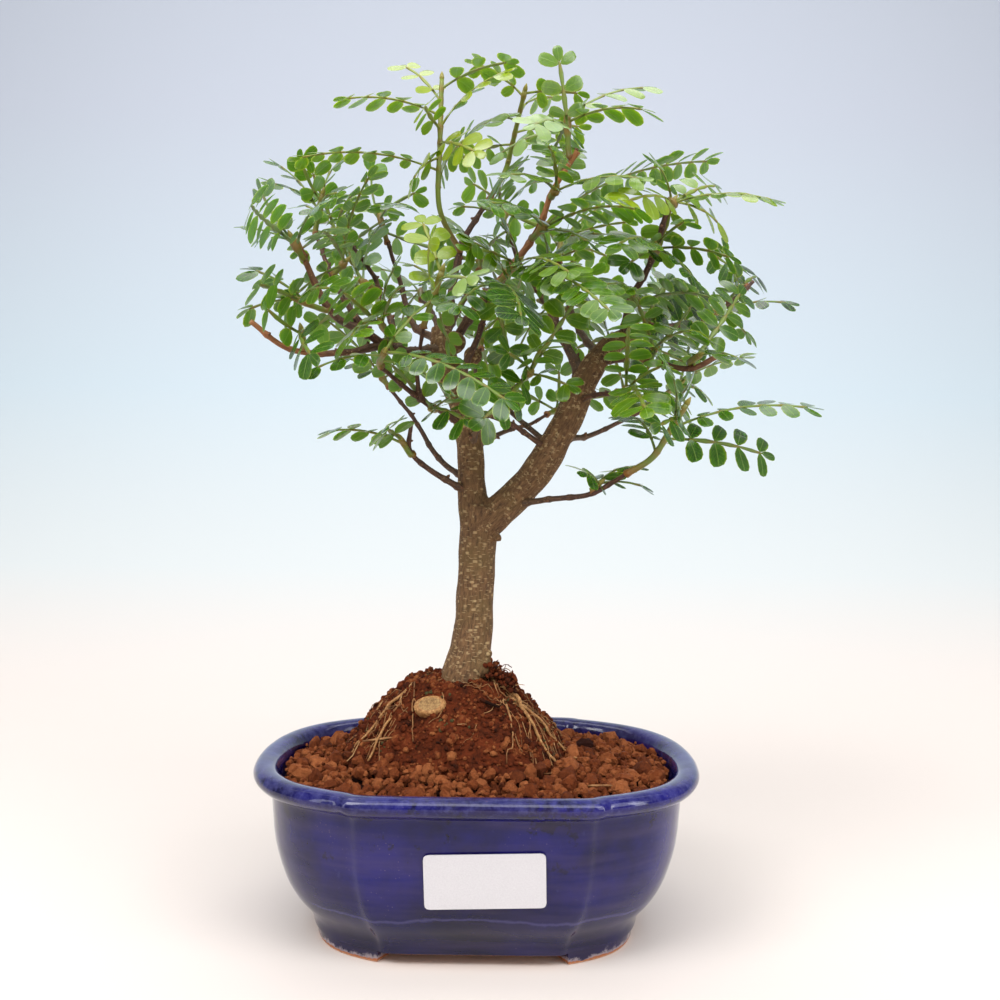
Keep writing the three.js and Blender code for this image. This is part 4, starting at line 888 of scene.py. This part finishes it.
def make_ball(lumps, crumb, soil, fibre, moss):
    """Root ball: a mound of fine soil with crumbs, fine roots and flecks of moss."""
    form = bmesh.new()
    ring = bmesh.ops.create_circle(form, segments=132, radius=1)["verts"]
    edge = foot = edges_of(ring)
    for _ in range(44):
        ring, edge = grow_ring(form, edge)
        shrink = 1 - 1 / 45 / (np.linalg.norm(ring[0].co) or 1)
        bmesh.ops.scale(form, vec=(shrink, shrink, 1), verts=ring)
    bmesh.ops.contextual_create(form, geom=edge)
    for vert in form.verts:
        reach = math.hypot(vert.co.x, vert.co.y)
        angle = math.atan2(vert.co.x, -vert.co.y)
        x, y = flank_spot(reach * ball_swell(angle), angle)
        spot = Vector((x, y, float(ground_level(x, y)) if reach < 0.999 else SOIL_CREST_LEVEL))
        fine = 1.1 * noise.noise(spot * 0.7) + 1.1 * noise.noise(spot * 1.6)
        vert.co = spot + Vector((0, 0, coarse_rise(spot) + fine - 1.5))
    low, edge = grow_ring(form, foot)
    for vert in low:
        vert.co.z = 57
    bmesh.ops.contextual_create(form, geom=edge)
    bmesh.ops.recalc_face_normals(form, faces=form.faces)
    mound, places = keep_form(form, "mound")
    copies = [(mound, places, 0, places, np.broadcast_to((0.3, 0, 0), places.shape))]
    draw = seeded_draw(BALL_SEED)
    for k in range(CRUMBS):
        x, y = flank_spot(draw() ** 0.55, draw() * 2 * math.pi)
        size = 0.35 + 0.85 * draw() ** 2
        kept = crumb
        if k % 24 == 0:
            size, kept = 1 + 1.1 * draw(), lumps[int(draw() * len(lumps))]
        spot = Vector((x, y, float(ground_level(x, y))))
        sizes = [size * (0.7 + 0.6 * draw()) for _ in range(3)]
        mossy = noise.noise(spot * 0.12 + Vector((7, 3, 1))) > 0.3 and draw() < 0.3 and size < 1
        middle = (x, y, spot.z - 1.2 + coarse_rise(spot))
        copies.append(lump_copy(kept, middle, sizes, draw, 2 if mossy else 0, (0.1 + 0.6 * draw(), 0, 0)))
    for count, middle_angle, spread, near, far, longest in ROOT_HAIRS:
        for _ in range(count):
            angle, reach = middle_angle + spread * (draw() - 0.5), near + (far - near) * draw()
            copies.append(fibre_copy(angle, reach, 5 + longest * draw(), 0.14 + 0.3 * draw() ** 2, draw))
    for _ in range(TUFT_CRUMBS):
        spot = np.array(HAIRY_FOOT) + np.array([draw() - 0.5, draw() - 0.5, 0]) * (13, 12, 0)
        spot[2] -= 0.7 * max(spot[0] - 5, 0) * draw() - 5 * draw() ** 2 * (spot[0] < 9)
        sizes = [0.5 + 1.1 * draw() ** 2 for _ in range(3)]
        copies.append(lump_copy(crumb, spot, sizes, draw, 0, (0.05 + 0.5 * draw(), 0, 0)))
    for _ in range(TUFT_HAIRS):
        start = np.array(HAIRY_FOOT) + np.array([draw() - 0.5, draw() - 0.5, 1.4 * draw() - 1]) * (10, 9, 6)
        heading = unit(np.array([1.6 * draw() - 0.4, 1.2 * (draw() - 0.8), 1.6 * (draw() - 0.5)]))
        hair = [start]
        for _ in range(4):
            heading = unit(heading + (jog(draw) - (0, 0, 0.1)) * 0.9)
            hair.append(hair[-1] + heading * (0.8 + 0.9 * draw()))
        surface = 0 if draw() < 0.6 else 1
        copies.append(tube_copy(np.array(hair), np.linspace(0.22, 0.1, 5), 5, surface, (0.3, 0, 0)))
    for points, radius, surface in STRAWS:
        widths = radius * np.array([0.6, 1, 1, 1, 0.9, 0.5])
        copies.append(tube_copy(spaced_points(points, 5), widths, 6, surface))
    gather("root_ball_soil", copies, [soil, fibre, moss], ["root_ball"])


def fibre_copy(angle, reach, length, radius, draw):
    """A fine root that creeps down the root ball's flank."""
    x, y = flank_spot(reach, angle)
    heading = math.atan2(y - BALL_CENTRE[1], x - BALL_CENTRE[0]) + (draw() - 0.5) * 2.2
    middles = []
    lift = 0.4 + 0.9 * draw()
    for _ in range(max(4, int(length / 1.6))):
        spot = Vector((x, y, float(ground_level(x, y))))
        middles.append((x, y, spot.z - 1 + coarse_rise(spot) + lift * (0.4 + 0.6 * draw())))
        heading += (draw() - 0.5) * 1.2
        x, y = x + 1.28 * math.cos(heading), y + 1.28 * math.sin(heading)
    return tube_copy(np.array(middles), radius * np.linspace(1, 0.5, len(middles)), 5, 1, (draw(), 0, 0))


def limb_middles(points, step):
    """Middles close together along a bent line."""
    return spaced_points(points, max(4, int(line_length(spaced_points(points, 60)) / step)))


TRUNKS = ("trunk", "left_trunk", "right_trunk")
# How far apart the rings of a tube stand, how many corners each has, and how fine the trunk's skin is
TRUNK_STEP, LIMB_STEP, SHOOT_STEP, TRUNK_CORNERS, LIMB_CORNERS, SKIN = 1.2, 1.3, 2.2, 28, 12, 0.7
# The burl and the knots on the trunks: middle and size
BURLS = [((3.4, -5.2, 110.5), 2.3), ((1.5, -5, 105), 4.4), ((-2, -6, 156), 2.2), ((7, -6, 158), 2),
         ((-4, -6, 232), 4), ((-12, 0, 238), 5)]


def make_trunk(bark):
    """Trunk and its two forks as one skin of old bark, with a burl, knots and furrows."""
    form, spots, start_side, start_run = bmesh.new(), [], None, 0
    for name in TRUNKS:
        points, radii = WOOD[name]
        middles = limb_middles(points, TRUNK_STEP)
        shares = np.linspace(0, 1, len(middles))
        _, sides, ups = ring_frames(middles, start_side)
        run = start_run + shares * line_length(middles)
        mesh, bent, *_ = tube_copy(middles, spread_value(radii, shares), TRUNK_CORNERS, 0, side=start_side)
        count = len(form.verts)
        form.from_mesh(mesh)
        form.verts.ensure_lookup_table()
        for vert, place in zip(form.verts[count:], bent):
            vert.co = place
        spots.extend(zip(middles, sides, ups, run))
        if name == "trunk":
            start_side, start_run = sides[-1], run[-1] - 12
    for middle, size in BURLS:
        bmesh.ops.create_icosphere(form, subdivisions=2, radius=size, matrix=Matrix.Translation(middle))
    done = worked(mesh_of(form, "trunk_blank"), ("REMESH", {"mode": "VOXEL", "voxel_size": SKIN}),
                  ("SMOOTH", {"iterations": 8, "factor": 0.5}))
    form = bmesh.new()
    form.from_mesh(done)
    form.normal_update()
    tree = kdtree.KDTree(len(spots))
    for k, spot in enumerate(spots):
        tree.insert(spot[0], k)
    tree.balance()
    places = []
    for vert in form.verts:
        _, k, _ = tree.find(vert.co)
        middle, side, up, run = spots[k]
        out = np.array(vert.co) - middle
        places.append((np.dot(out, side), np.dot(out, up), run))
    for vert, (a, b, run) in zip(form.verts, places):
        ridge = noise.noise(Vector((a * 0.9, b * 0.9, run * 0.1)))
        swell = noise.noise(Vector((a * 0.18, b * 0.18, run * 0.12)) + Vector((9, 4, 2)))
        vert.co += vert.normal * (0.28 * ridge + 0.5 * swell)
    bmesh.ops.transform(form, matrix=TO_FRAME, verts=form.verts)
    mesh = mesh_of(form, "trunk")
    carry(mesh, "part_place", places)
    finish_piece("trunk", mesh, [bark], ["wood"])


# How orange each limb grows towards its cut end, and how grey it starts
FRESH_ENDS = {"long_orange": 0.9, "left_long": 0.7, "left_cut": 0.35, "right_cut": 0.2}
GREY_STARTS = {"branch_front": 0.8, "inner_front": 0.6, "left_limb": 0.5, "left_lowest": 0.4,
               "right_lowest": 0.5, "inner_back": 0.6, "right_low": 0.5}
# Limbs and roots as thin as the photograph shows them, next to the part's own plain tubes
LIMB_GIRTH, SLIM_GIRTH, ROOT_GIRTH = 0.76, 0.62, 0.36
SLIM_LIMBS = ("long_orange", "left_long")
# Nodes on a limb: where the first can stand, how far apart they are, each with a random part
FIRST_NODE, NODE_SPACING = (4, 5), (7, 8)
# The pale oval scar on the mound
SCAR_MIDDLE, SCAR_HALF_WIDTH = (-19, -17, 91.6), 6.6


def make_limbs(bark, cut, root):
    """Limbs and twigs with a collar where they leave the trunk, swollen nodes and cut ends."""
    draw = seeded_draw(LIMB_SEED)
    copies = []
    for name, (points, radii) in WOOD.items():
        if name in TRUNKS:
            continue
        middles = limb_middles(points, LIMB_STEP)
        length = line_length(middles)
        run = np.linspace(0, length, len(middles))
        girth = SLIM_GIRTH if name in SLIM_LIMBS else LIMB_GIRTH
        width = girth * spread_value(radii, run / length) * (1 + 0.8 * np.exp(-run / 2.5))
        node = FIRST_NODE[0] + FIRST_NODE[1] * draw()
        while node < length:
            width = width * (1 + (0.22 + 0.16 * draw()) * hump(run, node, 1.1))
            middles = middles + jog(draw) * 0.7 * hump(run, node, 3.5)[:, None]
            stub = middles[np.argmin(abs(run - node))]
            out = unit(jog(draw) + (0, 0, 0.2))
            reach = np.interp(node, run, width)
            bud = np.array([stub + out * reach * k for k in (0.4, 1.0, 1.45, 1.75)])
            sizes = np.array([0.55, 0.5, 0.36, 0.1]) * min(reach, 1.6)
            copies.append(tube_copy(bud, sizes, 6, 0, (0.15, 0.1, 0)))
            node += NODE_SPACING[0] + NODE_SPACING[1] * draw()
        share = run / length
        fresh = FRESH_ENDS.get(name, 0) * np.clip((share - 0.25) / 0.6, 0, 1)
        grey = GREY_STARTS.get(name, 0.25) * np.clip(1 - share * 1.6, 0, 1)
        tone = np.column_stack([fresh, grey, 0 * run])
        copies.append(tube_copy(middles, width, LIMB_CORNERS, 0, tone))
    for name, (points, radii) in ROOTS.items():
        middles = limb_middles(points, LIMB_STEP)
        sunk = 4 * np.linspace(1, -1, len(middles)).clip(0) * ("left" in name)
        middles[:, 2] = np.minimum(middles[:, 2], ground_level(middles[:, 0], middles[:, 1]) + 0.1 - sunk)
        length = line_length(middles)
        run = np.linspace(0, length, len(middles))
        width = ROOT_GIRTH * spread_value(radii, run / length)
        for _ in range(int(length / 4)):
            node = length * draw()
            shift = np.array([draw() - 0.5, draw() - 0.5, 0.1]) * 2.4
            middles = middles + shift * hump(run, node, 3)[:, None]
        copies.append(tube_copy(middles, width, LIMB_CORNERS, 2, (0.5, 0.5, 0)))
    facing = unit(np.array([-0.1, -0.72, 0.68]))
    scar = np.array([np.array(SCAR_MIDDLE) + facing * k for k in (-5, -2, 0, 0.9)])
    copies.append(tube_copy(scar, SCAR_HALF_WIDTH * np.array([0.9, 1, 1, 0.86]), 16, 2,
                            side=np.array((1, 0, 0.1)), flat=0.66))
    gather("limbs_and_roots", copies, [bark, cut, root, cut])


# Leaflet: a flat form pointed at its root and round at its tip: share along and half-width
LEAFLET_RINGS = [(0, 0), (0.07, 0.34), (0.27, 0.8), (0.55, 1), (0.79, 0.94), (0.95, 0.6), (0.985, 0)]
# A frond's pairs of leaflets: the stalk left bare, the room for a pair, the angle they stand at
BARE_STALK, PAIR_SPACING, LEAFLET_ANGLE, LEAFLET_WIDTH = 11, 7.1, 1.15, 0.59


def leaflet_form():
    form = bmesh.new()
    bmesh.ops.create_uvsphere(form, u_segments=8, v_segments=6, radius=1,
                              matrix=Matrix.Rotation(math.pi / 2, 4, "Y"))
    for edge in form.edges:
        if all(abs(vert.co.z) < 1e-4 for vert in edge.verts):
            edge.smooth = False
    mesh, places = keep_form(form, "leaflet")
    ring = np.rint(np.arccos(np.clip(-places[:, 0], -1, 1)) / (math.pi / 6)).astype(int)
    girth = np.hypot(places[:, 1], places[:, 2])
    girth[girth < 1e-5] = 1
    along = np.array([share for share, _ in LEAFLET_RINGS])[ring]
    half = np.array([width for _, width in LEAFLET_RINGS])[ring]
    across, above = places[:, 1] / girth, places[:, 2] / girth
    return mesh, along, half, across, above


def frond_frame(base, tip, roll):
    """How a frond lies: from its base to its tip, arched up and rolled about its rib."""
    away = tip - base
    length = max(np.linalg.norm(away), SHORTEST_FROND)
    along = unit(away)
    outward = np.array([base[0] - CROWN_CENTRE[0], base[1] - CROWN_CENTRE[1], 0])
    outward = unit(outward) * FACING_OUT
    facing = np.array([outward[0], outward[1], FACING_UP])
    normal = unit(facing - along * np.dot(facing, along))
    side = np.cross(normal, along)
    up = normal * math.cos(roll) + side * math.sin(roll)
    across = side * math.cos(roll) - normal * math.sin(roll)

    def at(x, y, z):
        x, y, z = np.broadcast_arrays(x, y, z)
        rise = ARCH * length * 4 * (x / length) * (1 - x / length) + z - DROOP * abs(y)
        return base + x[..., None] * along + y[..., None] * across + rise[..., None] * up
    return length, at


def frond_samples(length, at):
    """Points spread over a frond's blade, for keeping it clear of what is near."""
    xs, ys = [], []
    reach = length - 0.4 * LEAFLET_LENGTH
    x = FIRST_SPOT
    while x <= length:
        half = 0 if x < 0.25 * reach else 0.9 * LEAFLET_LENGTH
        for y in ([0] if x > reach else [-half, -0.5 * half, 0, 0.5 * half, half]):
            xs.append(x)
            ys.append(y)
        x += SPOT_STEP
    return at(np.array(xs, float), np.array(ys, float), 0.0)


def far_from(samples, others, gap):
    """True if every sample is further than the gap (one, or one for each) from every other point."""
    if len(others) == 0 or len(samples) == 0:
        return True
    low, high = samples.min(0), samples.max(0)
    gap = np.broadcast_to(gap, len(others))
    near = ((others > low - gap[:, None]) & (others < high + gap[:, None])).all(1)
    if not near.any():
        return True
    squares = ((samples[:, None] - others[near][None]) ** 2).sum(-1)
    return bool((squares > gap[near] ** 2).all())


def shoot_layout(branch, place, end):
    """Where a green shoot runs: it stands square on the bark and bends to its end."""
    middle, direction, radius = spot_on(WOOD[branch], place)
    away = np.array(end, float) - middle
    sideways = unit(away - direction * np.dot(away, direction))
    out = sideways if place < 1 else direction
    start = middle + out * ((radius if place < 1 else 0) + SHOOT_SEAT)
    length = np.linalg.norm(np.array(end) - start)
    knee = start + out * KNEE * length
    return spaced_points([start, knee, end], 3 if length > LONG_SHOOT else 1), out


def bark_spots():
    middles, radii = [], []
    for limb in WOOD.values():
        count = SPOTS_PER_STRETCH * (len(limb[0]) - 1)
        for k in range(count + 1):
            middle, _, radius = spot_on(limb, k / count)
            middles.append(middle)
            radii.append(radius)
    return np.array(middles), np.array(radii)


def place_fronds(stations):
    """Every frond of the part's own sprays, found by the same tries as there."""
    middles, radii = bark_spots()
    draw = seeded_draw(SPRAY_SEED)
    shares = [k / (SPOTS_PER_SHOOT - 1) for k in range(SPOTS_PER_SHOOT)]
    shoot_spots = [np.array([along_stations(line, share) for share in shares]) for line in stations]
    placed = np.empty((0, 3))
    fronds = []
    for index, (_, _, _, tips) in enumerate(SPRAYS):
        others = np.vstack([spots for k, spots in enumerate(shoot_spots) if k != index])
        own, mine = np.empty((0, 3)), []
        for order, tip_point in enumerate(tips):
            base = along_stations(stations[index], FIRST_FROND + FROND_SHARE * ((order + 1) / len(tips)))
            target = np.array(tip_point[:3], float)
            turn = math.radians(tip_point[3]) if len(tip_point) > 3 else 0
            for attempt in range(TRIES):
                nudge = jog(draw)
                further = (draw() - 0.5) * SIGHT_WANDER * attempt
                roll = turn + (draw() - 0.5) * (ROLL + MORE_ROLL * attempt)
                tip = target + (target - FRONT_VIEW) * further + nudge * WANDER * attempt
                if not FRONT_LIMIT < tip[1] < BACK_LIMIT:
                    continue
                length, at = frond_frame(base, tip, roll)
                samples = frond_samples(length, at)
                outer = samples[np.linalg.norm(samples - base, axis=1) > FORK_ROOM]
                stalk = at(np.array(STALK_SPOTS, float), 0.0, 0.0)
                if (far_from(samples, placed, CLEARANCE) and far_from(samples, others, CLEARANCE)
                        and far_from(outer, own, FORK_CLEARANCE)
                        and far_from(samples, middles, radii + BARK_CLEARANCE)
                        and far_from(stalk, middles, radii + STALK_CLEARANCE)):
                    own = np.vstack([own, samples])
                    mine.append((base, length, at))
                    break
        placed = np.vstack([placed, own])
        fronds.append(mine)
    return fronds, placed, np.vstack(shoot_spots), middles, radii


def in_outline(points):
    """True where points lie inside the crown's edge as it is seen from the front."""
    nearness = -FRONT_VIEW[1] / (points[:, 1] - FRONT_VIEW[1])
    x = FRONT_VIEW[0] + (points[:, 0] - FRONT_VIEW[0]) * nearness
    z = FRONT_VIEW[2] + (points[:, 2] - FRONT_VIEW[2]) * nearness
    inside = np.zeros(len(points), bool)
    for (x0, z0), (x1, z1) in zip(CROWN_OUTLINE, CROWN_OUTLINE[1:] + CROWN_OUTLINE[:1]):
        if z0 != z1:
            inside ^= ((z0 > z) != (z1 > z)) & (x < (x1 - x0) * (z - z0) / (z1 - z0) + x0)
    return inside


def more_fronds(stations, fronds, placed, shoot_spots, middles, radii):
    """Adds fronds between the part's own ones, inside the crown's edge."""
    draw = seeded_draw(EXTRA_SEED)
    low, high = (np.array((TO_FRAME.inverted() @ corner)[:]) for corner in cad_bounds)
    for index, line in enumerate(stations):
        for _ in range(EXTRA_FRONDS):
            for _ in range(EXTRA_TRIES):
                base = along_stations(line, 0.3 + 0.7 * draw())
                outward = unit(base - CROWN_CENTRE) * 0.6
                wild = jog(draw) * 2.4
                tip = base + unit(outward + wild + (0, 0, 0.15)) * (26 + 22 * draw())
                length, at = frond_frame(base, tip, (draw() - 0.5) * 2)
                samples = frond_samples(length, at)
                outer = samples[np.linalg.norm(samples - base, axis=1) > EXTRA_FORK_ROOM]
                if ((samples > low + BOX_MARGIN).all() and (samples < high - BOX_MARGIN).all()
                        and in_outline(samples).all() and far_from(outer, placed, EXTRA_CLEARANCE)
                        and far_from(outer, shoot_spots, 2) and far_from(outer, middles, radii + 1.2)):
                    placed = np.vstack([placed, samples])
                    fronds[index].append((base, length, at))
                    break
    return fronds


def dress_frond(length, at, young, pale, leaflet, draw):
    """A frond: a winged stalk pinched at its nodes, pairs of leaflets, and one at the tip."""
    mesh, along, half, across, above = leaflet
    copies = []
    pairs = max(2, round((length - BARE_STALK) / PAIR_SPACING))
    first = 0.2 * length
    last = length - 0.72 * LEAFLET_LENGTH
    nodes = np.linspace(first, last, pairs)
    gap = nodes[1] - nodes[0]
    stations = [(-0.4, 0.8, 0.8, 0.4), (0.5, 0.62, 0.6, 0.2), (0.6 * first, 0.6, 0.5, 0)]
    for k, x in enumerate(nodes):
        taper = 1 - 0.4 * k / pairs
        stations += [(x - 0.35 * gap * (k > 0), (0.6 + 0.65 * (k > 0)) * taper, 0.34, 0),
                     (x - 0.2, 0.75 * taper, 0.5, 0.4), (x + 0.5, 0.55 * taper, 0.42, 0.15),
                     (x + 0.3 * gap, 0.85 * taper, 0.34, 0)]
    stations = stations[:-1] + [(nodes[-1] + 1.2, 0.35, 0.3, 0.2)]
    xs, widths, depths, reds = (np.array(values) for values in zip(*stations))
    tube, places = straight_tube(len(xs), 6)
    ring = np.rint(places[:, 0]).astype(int)
    bent = at(xs[ring], places[:, 1] * widths[ring], places[:, 2] * depths[ring])
    tones = np.column_stack([0 * ring + 0.3 + 0.6 * young, 0 * ring + 0.7 * pale, reds[ring]])
    copies.append((tube, bent, 1, places, tones))
    size = min(1, 0.62 + length / 120) * (0.9 + 0.2 * draw())
    for k, x in enumerate([*nodes, nodes[-1] + 0.9]):
        ending = k == pairs
        middle_gain = 0.8 + 0.28 * math.sin(math.pi * (k + 0.8) / (pairs + 1))
        for side in ([0] if ending else [-1, 1]):
            leaf_length = 9.5 * size * middle_gain * (0.9 + 0.16 * draw())
            leaf_width = leaf_length * (LEAFLET_WIDTH + 0.11 * draw()) * (0.9 if ending else 1)
            angle = (LEAFLET_ANGLE + 0.25 * (draw() - 0.5)) * (0 if ending else 1)
            if ending:
                leaf_length = min(leaf_length, length - x)
            out, sideways = along * leaf_length, across * half * leaf_width / 2
            turn = side if side else 1
            px = x + out * math.cos(angle) - turn * sideways * math.sin(angle)
            py = side * 0.35 + turn * out * math.sin(angle) + sideways * math.cos(angle)
            cup, curl, lean = 0.06 * draw(), 0.3 * (draw() - 0.3), 0.6 * (draw() - 0.5)
            pz = (above * 0.15 * np.maximum(half, 0.25) + cup * sideways ** 2
                  - curl * out ** 2 / leaf_length + lean * sideways + 0.25)
            spots = np.column_stack([along, across, np.sign(np.round(above, 3))])
            tones = np.broadcast_to((young + 0.12 * (draw() - 0.5), pale * (0.7 + 0.3 * draw()), draw()),
                                    spots.shape)
            copies.append((mesh, at(px, py, pz), 0, spots, tones))
    return copies


# Sprays whose fronds are young and yellow green, or carry a painted grey sheen
YOUNG_SPRAYS = {1: 0.8, 2: 0.7, 15: 0.8, 29: 0.65, 32: 0.5, 33: 0.55, 36: 0.5, 39: 0.5}
SHEEN_SPRAYS = {4: 0.5, 7: 0.35, 10: 0.4, 32: 0.3}


def make_sprays(leaf, stalk):
    """Sprays: green shoots, their fronds and a bud at each end."""
    layouts = [shoot_layout(branch, place, end) for branch, place, end, _ in SPRAYS]
    stations = [line for line, _ in layouts]
    fronds = more_fronds(stations, *place_fronds(stations))
    leaflet = leaflet_form()
    draw = seeded_draw(LEAF_SEED)
    for number, (line, out) in enumerate(layouts, 1):
        copies = []
        rooted = np.vstack([line[0] - out * 1.6, line])
        middles = limb_middles(rooted, SHOOT_STEP)
        share = np.linspace(0, 1, len(middles))
        width = np.interp(share, [0, 0.08, 1], [1.7, 1.25, 0.95])
        young = YOUNG_SPRAYS.get(number, 0.1 + 0.32 * draw())
        red = np.clip(1 - share * 3, 0, 1) * 0.8
        for base, _, _ in fronds[number - 1]:
            closeness = hump(np.linalg.norm(middles - base, axis=1), 0, 1.4)
            width = width * (1 + 0.25 * closeness)
            red = np.maximum(red, 0.55 * closeness)
        tone = np.column_stack([0 * share + 0.3 + 0.5 * young, 0 * share, red])
        copies.append(tube_copy(middles, width, 8, 1, tone))
        tip_direction = unit(line[-1] - line[-2])
        bud = np.array([line[-1] + tip_direction * k for k in (-0.4, 0.6, 1.8, 3.2)])
        copies.append(tube_copy(bud, (0.9, 1.1, 0.8, 0.15), 8, 1, (0.9, 0, 0.35)))
        for base, length, at in fronds[number - 1]:
            high = np.clip((base[2] - 290) / 70, 0, 1)
            frond_young = np.clip(young + 0.25 * high + 0.3 * (draw() - 0.5), 0, 1.1)
            # A painted grey sheen on the fronds of some sprays, and on a few others at random
            frond_sheen = max(SHEEN_SPRAYS.get(number, 0) * draw() * 1.6, 0.3 * (draw() > 0.88))
            copies.extend(dress_frond(length, at, frond_young, frond_sheen, leaflet, draw))
        gather(f"leafy_spray_{number:02d}", copies, [leaf, stalk, stalk], [f"spray_{number:02d}"])


def set_camera():
    data = bpy.data.cameras.new("camera")
    data.lens, data.sensor_width, data.clip_start = CAMERA_LENS, SENSOR_WIDTH, 0.01
    camera = shown(data, "camera")
    camera.matrix_world = (Matrix.Translation(TO_FRAME @ Vector(CAMERA_PLACE))
                           @ Matrix.Rotation(CAMERA_PITCH, 4, "X") @ Matrix.Rotation(CAMERA_ROLL, 4, "Z"))
    bpy.context.scene.camera = camera


# Lights: place, width and length in metres, watts
LIGHTS = {"key": ((-0.75, -0.75, 1.2), (0.7, 0.7), 8), "fill": ((0.95, -0.75, 0.8), (0.8, 0.8), 6),
          "top": ((0, 0.3, 1.5), (1.2, 1.2), 8), "left_strip": ((-0.85, -0.5, 0.3), (0.12, 0.8), 1),
          "right_strip": ((0.9, -0.5, 0.3), (0.12, 0.8), 1.6),
          "wall_wash": ((0, 0.7, 1.9), (3.6, 0.4), 26), "front_bar": ((0, -0.8, 1.3), (2.4, 0.7), 21)}
FLOOR_REST, SWEEP_RADIUS = 0.32, 2.2


def set_stage():
    """A plain pale floor that runs up into a pale wall, soft boxes and a pale world."""
    sweep = Pattern("pale_sweep", 0.9)
    colour = sweep.ramp(sweep.fade(sweep.split(sweep.place)["Z"], 0, 1400), (0, "#dfd6d0"), (0.05, "#d4d9da"),
                        (0.25, "#cbd9e2"), (0.8, "#ced5e3"))
    form = bmesh.new()
    route = [(-3, 0), *[(FLOOR_REST + SWEEP_RADIUS * math.sin(a), SWEEP_RADIUS - SWEEP_RADIUS * math.cos(a))
                        for a in np.linspace(0, math.pi / 2, 28)], (FLOOR_REST + SWEEP_RADIUS, 4)]
    line = [form.verts.new((-4, y, z)) for y, z in route]
    ring, _ = grow_ring(form, [form.edges.new(pair) for pair in zip(line, line[1:])])
    bmesh.ops.translate(form, vec=(8, 0, 0), verts=ring)
    bmesh.ops.recalc_face_normals(form, faces=form.faces)
    mesh = mesh_of(form, "floor")
    shade(mesh, True)
    mesh.materials.append(sweep.finish(colour))
    floor = shown(mesh, "floor")
    for name, (place, (width, length), power) in LIGHTS.items():
        data = bpy.data.lights.new(name, "AREA")
        data.shape, data.size, data.size_y, data.energy = "RECTANGLE", width, length, power
        light = shown(data, name)
        light.location = place
        aim = Vector((0, 2.4, 1)) if name == "wall_wash" else Vector((0, 0, 0.2))
        light.rotation_euler = (aim - Vector(place)).to_track_quat("-Z", "Y").to_euler()
    world = bpy.data.worlds.new("pale_room")
    world.use_nodes = True
    background = world.node_tree.nodes["Background"]
    background.inputs["Color"].default_value = linear("#f4f2ef")
    background.inputs["Strength"].default_value = 0.34
    bpy.context.scene.world = world
    bpy.context.scene.view_settings.view_transform = "Standard"


# What the object is made of: glaze and the bare clay under it, fired grains, the old ball's fine
# soil, bark, cut wood, roots, fine roots and straw, dry moss, sticker paper, net plastic, leaves
set_camera()
glaze = make_glaze()
terracotta = make_plain("bare_terracotta", 0.85, ("#a9714c", "#c98f6a", "#d9ab88"), 0.6, 0.0003,
                        (0.3, 0.55, 0.75), 0.7, 0.5)
clay = make_clay("fired_clay", "#2b0d05", "#733819", "#a5633a", 0.04)
ball_soil = make_clay("fine_red_soil", "#1c0801", "#672b10", "#a8683c", 0.13)
old_bark, young_bark = make_old_bark(), make_young_bark()
cut_wood = make_plain("cut_wood", 0.85, ("#5f4423", "#947147", "#b3925f"), 1.1, 0.0012)
root_bark = make_plain("root_bark", 0.75, ("#6b4526", "#a0713f", "#c89b66"), 0.9, 0.0003)
fibre = make_plain("root_fibre", 0.8, ("#4a2a14", "#94653a", "#c99f6c"), 0.16, 0.0001)
moss = make_plain("moss", 0.95, ("#26240f", "#3f3a18", "#5f5a2a"), 1.5, 0.0003)
paper = make_plain("sticker_paper", 0.5, ("#cbc9cd", "#d1cfd3", "#d6d5d8"), 1.8, 0.00003)
net_plastic = make_plain("net_plastic", 0.5, ("#1c1f24", "#22252a", "#2b2f35"), 0.8, 0.00005)
leaf, stalk = make_leaf(), make_stalk()

lumps, crumb = make_lumps(14, 5, 0.42)
make_pot(glaze, terracotta)
make_soil(lumps, crumb, clay)
make_ball(lumps, crumb, ball_soil, fibre, moss)
make_trunk(old_bark)
make_limbs(young_bark, cut_wood, root_bark)
make_sprays(leaf, stalk)
for node, surface in (("label", paper), ("drain_net_left", net_plastic), ("drain_net_right", net_plastic)):
    for material_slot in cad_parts[node].material_slots:
        material_slot.material = surface
set_stage()
